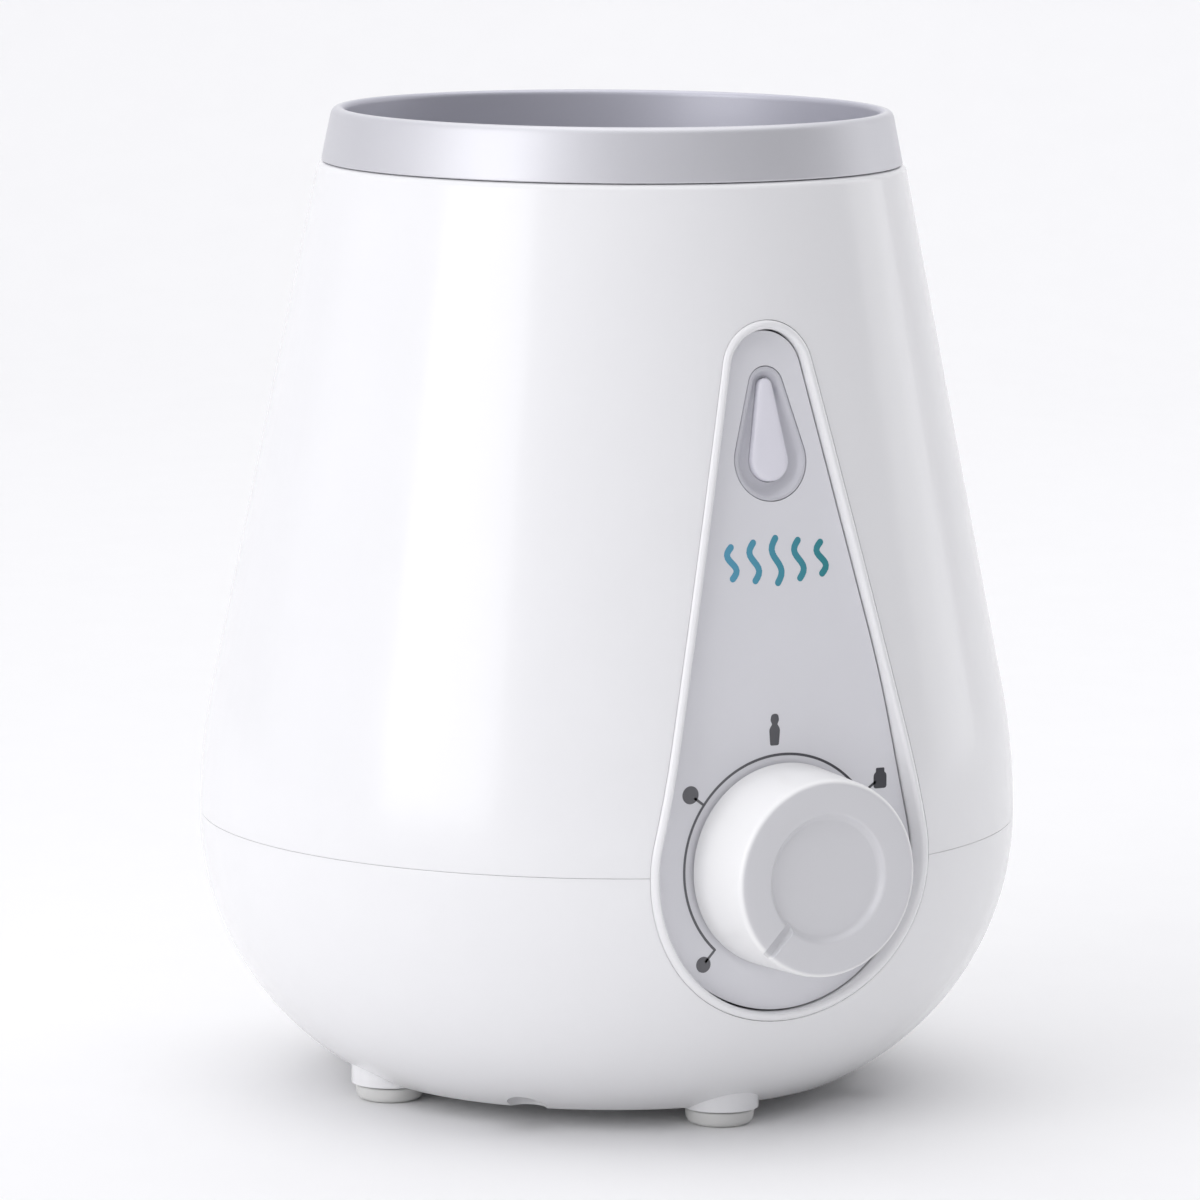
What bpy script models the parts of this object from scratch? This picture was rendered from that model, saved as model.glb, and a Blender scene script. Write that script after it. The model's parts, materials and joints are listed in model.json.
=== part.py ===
"""Bottle warmer: a white cone-shaped housing with a silver mouth ring, a water tank heated from
below, and a teardrop control panel with a lamp and a thermostat knob.

Metres, +Z up. The panel faces -Y, and the origin is the middle of the whole object's footprint.
"""

from math import acos, asin, atan, atan2, cos, hypot, pi, radians, sin, sqrt, tan

import bmesh
import bpy
from mathutils import Matrix, Vector

MM = 0.001
GAP = 0.3 * MM  # clearance between neighbouring pieces
BITE = 0.4 * MM  # how far shapes that are joined into one piece run into each other

# Housing
MAX_RADIUS = 65 * MM
SEAM_Z = 44 * MM  # parting line, at the widest level
NECK_RADIUS = 46.4 * MM
NECK_Z = 147.5 * MM
BLEND_RADIUS = 103 * MM  # from the widest level up into the cone
BASE_RADIUS = 40 * MM
FOOT_LIFT = 3 * MM  # underside of the floor above the table
WALL = 2.5 * MM
SHOULDER = 1 * MM
TONGUE_HEIGHT = 3 * MM
BIG_STEPS = 32

# Mouth ring, tank and gasket
RING_HEIGHT = 8.2 * MM
RING_CREST_RADIUS = 44.2 * MM
RING_WALL = 1.6 * MM
RING_SKIRT = 9 * MM
LEDGE_WIDTH = 4 * MM
LEDGE_HEIGHT = 1.4 * MM
GASKET_HEIGHT = 1.5 * MM
TANK_FLANGE = 1.4 * MM
TANK_BOTTOM_RADIUS = 35.6 * MM
TANK_BOTTOM_Z = 52 * MM
TANK_WALL = 1.2 * MM
TANK_CORNER = 4 * MM

# Control panel: flat across, upright below and leaning back above
PANEL_SUNK = 7.6 * MM  # its face lies this much nearer the body's axis than the widest level
PANEL_BEND_SHARE = 0.326  # how far up from the knob to the lamp the panel bends
PANEL_TOP_DEPTH = 1.75 * MM  # under the housing's surface, at the upper round
PANEL_BEND_RADIUS = 100 * MM
PANEL_THICKNESS = 2 * MM
TEAR_LOWER_RADIUS = 24.4 * MM
TEAR_UPPER_RADIUS = 8 * MM
TEAR_LOWER_Z = 44 * MM
TEAR_NECK_GAP = 28.5 * MM  # from the upper round's centre up to the neck
FRAME_WIDTH = 1.2 * MM
FRAME_PROUD = 0.4 * MM
FRAME_LEDGE = 1.5 * MM

# Lamp
LAMP_DROP = 13.4 * MM  # from the panel's upper round down to the lamp's lower round
LAMP_LENGTH = 11.4 * MM  # between the centres of its two rounds
LAMP_LOWER_RADIUS = 6.2 * MM
LAMP_UPPER_RADIUS = 3 * MM
LENS_LOWER_RADIUS = 3.2 * MM
LENS_UPPER_RADIUS = 1.2 * MM
BEZEL_SUNK = 0.8 * MM
LENS_PROUD = 0.3 * MM
HOLDER_DEPTH = 5 * MM
LED_RADIUS = 1.5 * MM
BOARD_THICKNESS = 1.4 * MM

# Knob and thermostat
KNOB_RADIUS = 15.8 * MM
KNOB_FACE_RADIUS = 15.2 * MM
KNOB_HEIGHT = 13.9 * MM
KNOB_LIFT = 0.6 * MM
KNOB_WALL = 2 * MM
DISH_RADIUS = 9.9 * MM
DISH_DEPTH = 1 * MM
POINTER_WIDTH = 1.8 * MM
POINTER_AT_OFF = radians(222.8)  # clockwise from the top
HUB_RADIUS = 5.6 * MM
SHAFT_RADIUS = 3 * MM
SHAFT_FLAT = 1 * MM
CLIP_THICKNESS = 0.5 * MM
BUSH_RADIUS = 4.8 * MM
NUT_RADIUS = 7.6 * MM
NUT_HEIGHT = 1.5 * MM
BRACKET_THICKNESS = 1.2 * MM
BRACKET_HALF_HEIGHT = 7 * MM
THERMOSTAT_HALF_HEIGHT = 13 * MM
THERMOSTAT_DEPTH = 14 * MM
PIN_RADIUS = 1.2 * MM
LEAF_THICKNESS = 0.4 * MM
TAB_LENGTH = 6 * MM

# Heater, under the tank
PLATE_RADIUS = 33 * MM
PLATE_THICKNESS = 4.5 * MM
ELEMENT_RADIUS = 24 * MM
ELEMENT_TUBE = 3.2 * MM
ELEMENT_LEG = 8 * MM
ELEMENT_OPENING = radians(106)  # where the ring of the element begins
STUD_RADIUS = 2 * MM
BRIDGE_THICKNESS = 1.6 * MM
BRIDGE_HALF = (29 * MM, 6 * MM)
CLAMP_NUT_HEIGHT = 2.4 * MM
SENSOR_Y = 13 * MM  # the fuse lies this far behind the stud, the bulb this far in front
FUSE_RADIUS = 1.6 * MM
FUSE_LENGTH = 11 * MM
BULB_RADIUS = 2.1 * MM
BULB_LENGTH = 15 * MM
CLIP_WIDTH = 5 * MM

# Fixings, feet, gland and wiring
POST_RADIUS = 3.6 * MM
POST_CIRCLE = 41 * MM
POST_BOTTOM_Z = 16 * MM
POST_TOP_Z = 58 * MM
SCREW_RADIUS = 1.5 * MM
SCREW_HEAD_RADIUS = 2.8 * MM
SCREW_HEAD_HEIGHT = 1.8 * MM
SOCKET_WALL = 1.6 * MM
FOOT_RADIUS = 5.5 * MM
FOOT_CIRCLE = 38.5 * MM
FOOT_STEM = 1.7 * MM
FOOT_BOSS_TOP = 8 * MM
FOOT_BOSS_PROUD = 0.3 * MM
GLAND_Z = 27 * MM
GLAND_BORE = 3.4 * MM
GLAND_WALL = 1.6 * MM
GLAND_PROUD = 1.5 * MM
TERMINAL_HALF = (12 * MM, 5 * MM)
TERMINAL_HEIGHT = 10 * MM
TERMINAL_Y = 27 * MM
WIRE_RADIUS = 0.9 * MM
CAPILLARY_RADIUS = 0.7 * MM

# Shapes that follow from the sizes above
FACING_FRONT = (pi / 2, 0, 0)  # local Z runs towards the front
FACING_BACK = (-pi / 2, 0, 0)
SIDEWAYS = (pi / 2, 0, -pi / 2)  # local X runs to the front and local Y up
CONE_ANGLE = atan2(NECK_Z - SEAM_Z, NECK_RADIUS - MAX_RADIUS + BLEND_RADIUS) - acos(
    BLEND_RADIUS / hypot(NECK_Z - SEAM_Z, NECK_RADIUS - MAX_RADIUS + BLEND_RADIUS)
)
BLEND_TOP_Z = SEAM_Z + BLEND_RADIUS * sin(CONE_ANGLE)
BOWL_DEPTH = SEAM_Z - FOOT_LIFT
BOWL_CENTRE = (MAX_RADIUS**2 - BASE_RADIUS**2 - BOWL_DEPTH**2) / (2 * (MAX_RADIUS - BASE_RADIUS))
BOWL_RADIUS = MAX_RADIUS - BOWL_CENTRE
FLOOR_TOP = FOOT_LIFT + WALL
PANEL_DISTANCE = MAX_RADIUS - PANEL_SUNK
KNOB_BASE = PANEL_DISTANCE + KNOB_LIFT
KNOB_TOP = KNOB_BASE + KNOB_HEIGHT
AXIS_Y = (KNOB_TOP - MAX_RADIUS) / 2  # puts the origin in the middle of the footprint
TEAR_UPPER_Z = NECK_Z - TEAR_NECK_GAP
LAMP_Z = TEAR_UPPER_Z - LAMP_DROP
KNOB_REACH_Z = TEAR_LOWER_Z + KNOB_RADIUS
LAMP_FOOT_Z = LAMP_Z - LAMP_LOWER_RADIUS
PANEL_BEND_Z = KNOB_REACH_Z + (LAMP_FOOT_Z - KNOB_REACH_Z) * PANEL_BEND_SHARE
PANEL_TOP = NECK_RADIUS + TEAR_NECK_GAP * tan(CONE_ANGLE) - PANEL_TOP_DEPTH
PANEL_LEAN = atan((PANEL_DISTANCE - PANEL_TOP) / (TEAR_UPPER_Z - PANEL_BEND_Z))
BEND_START = PANEL_BEND_Z - PANEL_BEND_RADIUS * tan(PANEL_LEAN / 2)
PANEL_BACK = PANEL_DISTANCE - PANEL_THICKNESS
BRACKET_FRONT = PANEL_BACK - GAP
FRAME_WINDOW = TEAR_LOWER_RADIUS - GAP - FRAME_WIDTH - FRAME_LEDGE
THERMOSTAT_HALF = (FRAME_WINDOW * 0.6, THERMOSTAT_HALF_HEIGHT)
BRACKET_HALF_WIDTH = sqrt((FRAME_WINDOW - GAP) ** 2 - BRACKET_HALF_HEIGHT**2)
BRACKET_SCREW_X = THERMOSTAT_HALF[0] + SCREW_HEAD_RADIUS + 2 * GAP
THERMOSTAT_FRONT = BRACKET_FRONT - BRACKET_THICKNESS - GAP
THERMOSTAT_BACK = THERMOSTAT_FRONT - THERMOSTAT_DEPTH
SHAFT_BACK = THERMOSTAT_FRONT - THERMOSTAT_DEPTH / 2
LEAF_FRONT = THERMOSTAT_BACK - 2 * MM
TANK_UNDER = TANK_BOTTOM_Z - TANK_WALL
PLATE_UNDER = TANK_UNDER - GAP - PLATE_THICKNESS
ELEMENT_Z = PLATE_UNDER - GAP - ELEMENT_TUBE
BRIDGE_TOP = ELEMENT_Z - ELEMENT_TUBE - GAP
BOARD_BACK = PANEL_THICKNESS + HOLDER_DEPTH + BOARD_THICKNESS + 2 * GAP
BRIDGE_UNDER = BRIDGE_TOP - BRIDGE_THICKNESS
RING_TOP = NECK_Z + GAP + RING_HEIGHT
SKIRT_BOTTOM = NECK_Z - RING_SKIRT
SKIRT_RADIUS = NECK_RADIUS - WALL / cos(CONE_ANGLE) - GAP
LEDGE_RADIUS = SKIRT_RADIUS - RING_WALL - LEDGE_WIDTH
TANK_MOUTH_RADIUS = LEDGE_RADIUS - GAP


def start_scene():
    """An empty scene with one collection for the parts, one for the cutters, and the axis."""
    for old in list(bpy.data.objects):
        bpy.data.objects.remove(old, do_unlink=True)
    parts = bpy.data.collections.new("bottle_warmer")
    cutters = bpy.data.collections.new("cutters")
    axis = bpy.data.objects.new("body_axis", None)
    axis.location = (0, AXIS_Y, 0)
    lamp = bpy.data.objects.new("lamp_seat", None)
    lamp.parent = axis
    lamp.location = (0, -panel_distance(LAMP_Z), LAMP_Z)
    lamp.rotation_euler = (pi / 2 - PANEL_LEAN, 0, 0)
    for collection in (parts, cutters):
        bpy.context.scene.collection.children.link(collection)
    for empty in (axis, lamp):
        parts.objects.link(empty)
    return parts, cutters, axis, lamp


def material(name, colour, roughness, metallic=0.0):
    made = bpy.data.materials.new(name)
    made.use_nodes = True
    shader = made.node_tree.nodes["Principled BSDF"]
    shader.inputs["Base Color"].default_value = (*colour, 1)
    shader.inputs["Roughness"].default_value = roughness
    shader.inputs["Metallic"].default_value = metallic
    return made


# Outlines


def arc(x, y, radius, start, end, segments):
    """Points on an arc from start to end, in radians, both ends included."""
    turns = [start + (end - start) * i / segments for i in range(segments + 1)]
    return [(x + radius * cos(turn), y + radius * sin(turn)) for turn in turns]


def housing_radius(z, inset=0.0):
    """The housing's radius at a height, inset from its outer surface."""
    if z <= SEAM_Z:
        return BOWL_CENTRE + sqrt((BOWL_RADIUS - inset) ** 2 - (SEAM_Z - z) ** 2)
    if z <= BLEND_TOP_Z:
        return MAX_RADIUS - BLEND_RADIUS + sqrt((BLEND_RADIUS - inset) ** 2 - (z - SEAM_Z) ** 2)
    return NECK_RADIUS + (NECK_Z - z) * tan(CONE_ANGLE) - inset / cos(CONE_ANGLE)


def cone_side(low, high, inset=0.0, segments=4):
    """The housing's side between two heights above the seam, bottom to top."""
    bend = [low + (BLEND_TOP_Z - low) * i / segments for i in range(segments + 1)]
    return [(housing_radius(z, inset), z) for z in [*bend, high]]


def bowl_side(low, inset=0.0, segments=7):
    """The bowl's side from the seam down to a height."""
    end = asin((SEAM_Z - low) / (BOWL_RADIUS - inset))
    return arc(BOWL_CENTRE, SEAM_Z, BOWL_RADIUS - inset, 0, -end, segments)


def teardrop(lower_radius, upper_radius, lower_y, upper_y, inset=0.0):
    """Two rounds of unlike radius joined by their tangents, the larger one below."""
    slope = asin((lower_radius - upper_radius) / (upper_y - lower_y))
    top = arc(0, upper_y, upper_radius - inset, slope, pi - slope, 8)
    bottom = arc(0, lower_y, lower_radius - inset, pi - slope, 2 * pi + slope, 20)
    return top + bottom


def panel_tear(inset=0.0):
    return teardrop(TEAR_LOWER_RADIUS, TEAR_UPPER_RADIUS, TEAR_LOWER_Z, TEAR_UPPER_Z, inset)


def lamp_tear(inset=0.0):
    return teardrop(LAMP_LOWER_RADIUS, LAMP_UPPER_RADIUS, 0, LAMP_LENGTH, inset)


def lens_tear(inset=0.0):
    return teardrop(LENS_LOWER_RADIUS, LENS_UPPER_RADIUS, 0, LAMP_LENGTH, inset)


def panel_side(inset=0.0):
    """The panel's face seen from the side, as distance and height, bottom to top."""
    centre = PANEL_DISTANCE - PANEL_BEND_RADIUS
    bend = arc(centre, BEND_START, PANEL_BEND_RADIUS - inset, 0, PANEL_LEAN, 3)
    reach = TEAR_UPPER_Z + 2 * TEAR_UPPER_RADIUS - BEND_START
    distance, height = bend[-1]
    end = (distance - reach * sin(PANEL_LEAN), height + reach * cos(PANEL_LEAN))
    return [(PANEL_DISTANCE - inset, 0), *bend, end]


def panel_distance(z):
    """How far the panel's face is from the body's axis at a height on its leaning part."""
    return PANEL_DISTANCE - (z - PANEL_BEND_Z) * tan(PANEL_LEAN)


def panel_layer(front, back):
    """The layer between two insets from the panel's face."""
    return panel_side(front) + panel_side(back)[::-1]


# Solids


def add(obj, finish, rotation=(0, 0, 0), place=(0, 0, 0), parent=None):
    """A sub-part, or with no finish a cutter."""
    obj.parent = parent or AXIS
    obj.rotation_euler = rotation
    obj.location = place
    if finish:
        obj.data.materials.append(finish)
        PARTS.objects.link(obj)
    else:
        CUTTERS.objects.link(obj)
        obj.hide_render = True
        obj.display_type = "WIRE"
    return obj


def turned(name, outline, finish, steps=24, closed=True, **placing):
    """A profile of (radius, height) points, running down its outer side, turned round Z."""
    mesh = bpy.data.meshes.new(name)
    points = [(x, 0, z) for x, z in outline]
    edges = [(i, i + 1) for i in range(len(points) - 1)]
    if closed:
        edges.append((len(points) - 1, 0))
    mesh.from_pydata(points, edges, [])
    obj = bpy.data.objects.new(name, mesh)
    screw = obj.modifiers.new("Turn", "SCREW")
    screw.steps = steps
    screw.render_steps = steps
    screw.use_merge_vertices = True
    screw.merge_threshold = 0.00001
    screw.use_smooth_shade = True
    return add(obj, finish, **placing)


def rod(name, radius, low, high, finish, steps=12, **placing):
    outline = [(0, high), (radius, high), (radius, low), (0, low)]
    return turned(name, outline, finish, steps, closed=False, **placing)


def meshed(curve_object):
    """The mesh that a curve object evaluates to, with its caps welded."""
    bpy.context.scene.collection.objects.link(curve_object)
    graph = bpy.context.evaluated_depsgraph_get()
    mesh = bpy.data.meshes.new_from_object(curve_object.evaluated_get(graph))
    edit = bmesh.new()
    edit.from_mesh(mesh)
    bmesh.ops.remove_doubles(edit, verts=edit.verts, dist=0.000001)
    bmesh.ops.recalc_face_normals(edit, faces=edit.faces)
    edit.to_mesh(mesh)
    edit.free()
    bpy.data.objects.remove(curve_object, do_unlink=True)
    return mesh


def prism(name, outlines, low, high, finish, **placing):
    """Flat outlines, the second one a hole, extruded along local Z from low to high."""
    curve = bpy.data.curves.new(name, "CURVE")
    curve.dimensions = "2D"
    curve.fill_mode = "BOTH"
    curve.extrude = (high - low) / 2
    for outline in outlines:
        spline = curve.splines.new("POLY")
        spline.points.add(len(outline) - 1)
        for point, (x, y) in zip(spline.points, outline):
            point.co = (x, y, 0, 1)
        spline.use_cyclic_u = True
    mesh = meshed(bpy.data.objects.new(name, curve))
    mesh.transform(Matrix.Translation((0, 0, (low + high) / 2)))
    mesh.name = name
    return add(bpy.data.objects.new(name, mesh), finish, **placing)


def box(name, low, high, finish, **placing):
    """A box between two corners."""
    size = Vector(high) - Vector(low)
    mesh = bpy.data.meshes.new(name)
    edit = bmesh.new()
    bmesh.ops.create_cube(edit, size=1)
    edit.to_mesh(mesh)
    edit.free()
    mesh.transform(Matrix.Translation((Vector(low) + Vector(high)) / 2) @ Matrix.Diagonal((*size, 1)))
    return add(bpy.data.objects.new(name, mesh), finish, **placing)


def wire(name, points, radius, finish):
    """A round wire through points that are close enough already."""
    curve = bpy.data.curves.new(name, "CURVE")
    curve.dimensions = "3D"
    curve.bevel_depth = radius
    curve.bevel_resolution = 2
    curve.use_fill_caps = True
    spline = curve.splines.new("POLY")
    spline.points.add(len(points) - 1)
    for point, place in zip(spline.points, points):
        point.co = (*place, 1)
    return add(bpy.data.objects.new(name, curve), finish)


def smooth_route(points, spacing=7 * MM):
    """Points along a smooth curve through a route's own points."""
    ends = [points[0] * 2 - points[1], *points, points[-1] * 2 - points[-2]]
    route = []
    for before, start, end, after in zip(ends, ends[1:], ends[2:], ends[3:]):
        pieces = max(2, round((end - start).length / spacing))
        for i in range(pieces):
            t = i / pieces
            route.append(
                start
                + (end - before) * t / 2
                + (before * 2 - start * 5 + end * 4 - after) * t * t / 2
                + (start * 3 - before - end * 3 + after) * t * t * t / 2
            )
    route.append(points[-1])
    return route


def combine(obj, other, operation="DIFFERENCE", solver="EXACT"):
    boolean = obj.modifiers.new(operation.title(), "BOOLEAN")
    boolean.operation = operation
    boolean.solver = solver
    boolean.object = other


def quarter_turns(radius, first=0.0):
    """Four places round the axis, as (name, angle, x, y)."""
    for name, quarter in (("right", 0), ("back", 1), ("left", 2), ("front", 3)):
        angle = first + quarter * pi / 2
        yield name, angle, radius * cos(angle), radius * sin(angle)


def screw_outline(length):
    """A pan head above z = 0 and its shank below."""
    head = [(0, SCREW_HEAD_HEIGHT), (SCREW_HEAD_RADIUS * 0.7, SCREW_HEAD_HEIGHT)]
    head += [(SCREW_HEAD_RADIUS, SCREW_HEAD_HEIGHT * 0.5), (SCREW_HEAD_RADIUS, 0)]
    return head + [(SCREW_RADIUS, 0), (SCREW_RADIUS, -length), (0, -length)]


def screw(name, length, **placing):
    made = turned(name, screw_outline(length), STEEL, 12, closed=False, **placing)
    slot = SCREW_HEAD_RADIUS * 0.7
    low = (-slot, -0.4 * MM, SCREW_HEAD_HEIGHT - 0.9 * MM)
    high = (slot, 0.4 * MM, SCREW_HEAD_HEIGHT + 1 * MM)
    combine(made, box(name + "_slot", low, high, None, **placing))
    return made


# Sub-parts


def upper_housing():
    seam = SEAM_Z + GAP / 2
    joint = SEAM_Z + TONGUE_HEIGHT + GAP
    lip = housing_radius(seam) - WALL / 2 + GAP / 2
    shoulder_z = NECK_Z - SHOULDER
    shoulder_x = housing_radius(shoulder_z) - SHOULDER
    outer = arc(shoulder_x, shoulder_z, SHOULDER, pi / 2, 0, 3)
    outer += cone_side(seam, shoulder_z - SHOULDER / 2)[::-1]
    step = [(lip, seam), (lip, joint)]
    inner = cone_side(joint, NECK_Z, WALL)
    shell = turned("upper_housing", outer + step + inner, WHITE, BIG_STEPS)
    combine(shell, panel_opening(), solver="MANIFOLD")
    for name, angle, x, y in quarter_turns(POST_CIRCLE, pi / 4):
        reach = housing_radius(POST_TOP_Z) - WALL / 2
        low = (POST_CIRCLE, -WALL / 2, SEAM_Z + TONGUE_HEIGHT + WALL)
        web = box(name + "_web", low, (reach, WALL / 2, POST_TOP_Z), None, rotation=(0, 0, angle))
        post = rod(name + "_post", POST_RADIUS, POST_BOTTOM_Z, POST_TOP_Z + BITE, None, place=(x, y, 0))
        pilot_top = POST_BOTTOM_Z + 14 * MM
        pilot = rod(name + "_pilot", SCREW_RADIUS + GAP, 0, pilot_top, None, 12, place=(x, y, 0))
        combine(shell, web, "UNION", "MANIFOLD")
        combine(shell, post, "UNION", "MANIFOLD")
        combine(shell, pilot, solver="MANIFOLD")


def panel_opening():
    if "panel_opening" not in bpy.data.objects:
        prism("panel_opening", [panel_tear()], 30 * MM, 90 * MM, None, rotation=FACING_FRONT)
    return bpy.data.objects["panel_opening"]


def lower_housing():
    seam = SEAM_Z - GAP / 2
    lip = housing_radius(seam) - WALL / 2 - GAP / 2
    tongue = housing_radius(SEAM_Z + TONGUE_HEIGHT, WALL) + GAP / 4
    outline = [(0, FLOOR_TOP), *bowl_side(FLOOR_TOP, WALL)[::-1]]
    outline += [(tongue, SEAM_Z + TONGUE_HEIGHT), (lip, SEAM_Z + TONGUE_HEIGHT)]
    outline += [(lip, seam), (housing_radius(seam), seam), *bowl_side(FOOT_LIFT)[1:], (0, FOOT_LIFT)]
    bowl = turned("lower_housing", outline, WHITE, BIG_STEPS, closed=False)
    fill = [(0, SEAM_Z), *bowl_side(FOOT_LIFT + BITE, BITE), (0, FOOT_LIFT + BITE)]
    inside = turned("bowl_inside", fill, None, BIG_STEPS, closed=False)
    for name, _, x, y in quarter_turns(POST_CIRCLE, pi / 4):
        place = (x, y, 0)
        outer = POST_RADIUS + GAP + SOCKET_WALL
        socket = rod(name + "_socket", outer, 0, POST_BOTTOM_Z + 3 * MM, None, place=place)
        combine(socket, inside, "INTERSECT", "MANIFOLD")
        combine(bowl, socket, "UNION", "MANIFOLD")
        seat = POST_BOTTOM_Z - GAP - WALL
        bore = rod(name + "_bore", POST_RADIUS + GAP, POST_BOTTOM_Z - GAP, 30 * MM, None, place=place)
        hole = rod(name + "_hole", SCREW_RADIUS + GAP, 0, 20 * MM, None, 12, place=place)
        well = rod(name + "_well", SCREW_HEAD_RADIUS + GAP, 0, seat, None, place=place)
        for cutter in (bore, hole, well):
            combine(bowl, cutter, solver="MANIFOLD")
    for name, _, x, y in quarter_turns(FOOT_CIRCLE):
        place = (x, y, 0)
        under = FOOT_LIFT - FOOT_BOSS_PROUD
        boss = rod(name + "_boss", FOOT_RADIUS + WALL / 4, under, FOOT_BOSS_TOP, None, place=place)
        hole = rod(name + "_foot_hole", FOOT_STEM + GAP, 0, 12 * MM, None, 12, place=place)
        combine(bowl, boss, "UNION", "MANIFOLD")
        combine(bowl, hole, solver="MANIFOLD")
    combine(bowl, panel_opening(), solver="MANIFOLD")
    gland = rod("gland_hole", GLAND_BORE + GLAND_WALL + GAP, 30 * MM, 80 * MM, None,
                rotation=FACING_BACK, place=(0, 0, GLAND_Z))
    combine(bowl, gland, solver="MANIFOLD")


def feet():
    top = FOOT_LIFT - FOOT_BOSS_PROUD - GAP
    grip = FOOT_BOSS_TOP + GAP
    outline = [(0, grip + 1.5 * MM), (FOOT_STEM * 0.6, grip + 1.5 * MM), (FOOT_STEM + 0.6 * MM, grip)]
    outline += [(FOOT_STEM, grip), (FOOT_STEM, top), (FOOT_RADIUS, top)]
    outline += arc(FOOT_RADIUS - 1 * MM, 1 * MM, 1 * MM, 0, -pi / 2, 2) + [(0, 0)]
    for name, _, x, y in quarter_turns(FOOT_CIRCLE):
        turned("foot_" + name, outline, RUBBER, 16, closed=False, place=(x, y, 0))


def housing_screws():
    for i, (_, _, x, y) in enumerate(quarter_turns(POST_CIRCLE, pi / 4)):
        seat = POST_BOTTOM_Z - 2 * GAP - WALL
        screw(f"housing_screw_{i + 1}", 14 * MM, rotation=(pi, 0, 0), place=(x, y, seat))


def mouth():
    """The ring, and the gasket and tank that lie on its inner ledge."""
    outer_low = NECK_RADIUS - BITE
    fillet = 1.3 * MM
    inner_top = RING_CREST_RADIUS - RING_WALL
    inner = SKIRT_RADIUS - RING_WALL
    outline = arc(RING_CREST_RADIUS, RING_TOP - fillet, fillet, pi / 2, 0.2, 3)
    outline += [(outer_low, NECK_Z + GAP), (SKIRT_RADIUS, NECK_Z + GAP), (SKIRT_RADIUS, SKIRT_BOTTOM)]
    outline += [(LEDGE_RADIUS, SKIRT_BOTTOM), (LEDGE_RADIUS, SKIRT_BOTTOM + LEDGE_HEIGHT)]
    outline += [(inner, SKIRT_BOTTOM + LEDGE_HEIGHT), (inner_top, RING_TOP - fillet)]
    outline += [(inner_top + 0.5 * MM, RING_TOP)]
    turned("top_ring", outline, SILVER, BIG_STEPS)
    low = SKIRT_BOTTOM + LEDGE_HEIGHT + GAP
    high = low + GASKET_HEIGHT
    edge = inner - GAP
    rim = LEDGE_RADIUS + GAP
    gasket = [(edge, high), (edge, low), (rim, low), (rim, high)]
    turned("tank_gasket", gasket, SILICONE, BIG_STEPS)
    under = high + GAP
    top = under + TANK_FLANGE
    corner = arc(TANK_BOTTOM_RADIUS - TANK_CORNER, TANK_BOTTOM_Z + TANK_CORNER,
                 TANK_CORNER + TANK_WALL, 0, -pi / 2, 3)
    outline = [(edge, top), (edge, under), (TANK_MOUTH_RADIUS, under - GAP), *corner]
    outline += [(0, TANK_UNDER), (0, TANK_BOTTOM_Z)]
    outline += arc(TANK_BOTTOM_RADIUS - TANK_CORNER, TANK_BOTTOM_Z + TANK_CORNER,
                   TANK_CORNER, -pi / 2, 0, 3)
    turned("water_tank", outline + [(TANK_MOUTH_RADIUS - TANK_WALL, top)], ALUMINIUM, BIG_STEPS)


def control_panel():
    far = -30 * MM
    ledge_front = PANEL_THICKNESS + GAP
    ledge_back = ledge_front + 1.2 * MM
    frame = prism("panel_frame", [panel_tear(GAP)], 40 * MM, KNOB_TOP, WHITE, rotation=FACING_FRONT)
    proud = [(0, TEAR_UPPER_Z + 20 * MM)]
    proud += cone_side(SEAM_Z, TEAR_UPPER_Z + 20 * MM, -FRAME_PROUD)[::-1]
    proud += [*bowl_side(FOOT_LIFT, -FRAME_PROUD)[1:], (0, FOOT_LIFT)]
    combine(frame, turned("frame_front", proud, None, 64, closed=False), "INTERSECT")
    reach = TEAR_LOWER_RADIUS * 1.2
    behind = prism("frame_depth", [panel_layer(far, ledge_back)], -reach, reach, None, rotation=SIDEWAYS)
    combine(frame, behind, "INTERSECT")
    well = prism("frame_well", [panel_tear(GAP + FRAME_WIDTH)], 30 * MM, 90 * MM, None,
                 rotation=FACING_FRONT)
    front = prism("well_depth", [panel_layer(far, ledge_front)], -reach, reach, None, rotation=SIDEWAYS)
    combine(well, front, "INTERSECT")
    combine(frame, well)
    window = prism("frame_window", [panel_tear(GAP + FRAME_WIDTH + FRAME_LEDGE)], 30 * MM, 90 * MM,
                   None, rotation=FACING_FRONT)
    combine(frame, window)
    plate = prism("control_panel", [panel_tear(2 * GAP + FRAME_WIDTH)], 30 * MM, 90 * MM, GREY,
                  rotation=FACING_FRONT)
    sheet = prism("panel_sheet", [panel_layer(0, PANEL_THICKNESS)], -reach, reach, None,
                  rotation=SIDEWAYS)
    combine(plate, sheet, "INTERSECT")
    combine(plate, rod("nut_hole", NUT_RADIUS + 2 * GAP, 40 * MM, 80 * MM, None, **KNOB_AXIS))
    lamp_hole = prism("lamp_hole", [lamp_tear(-GAP)], -20 * MM, 20 * MM, None, parent=LAMP)
    combine(plate, lamp_hole)
    for side in (-1, 1):
        x = side * BRACKET_SCREW_X
        place = (x, 0, TEAR_LOWER_Z)
        blind = rod(f"panel_pilot_{side}", SCREW_RADIUS + GAP, 40 * MM, PANEL_BACK + 1.2 * MM, None, 12,
                    rotation=FACING_FRONT, place=place)
        combine(plate, blind)


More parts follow.
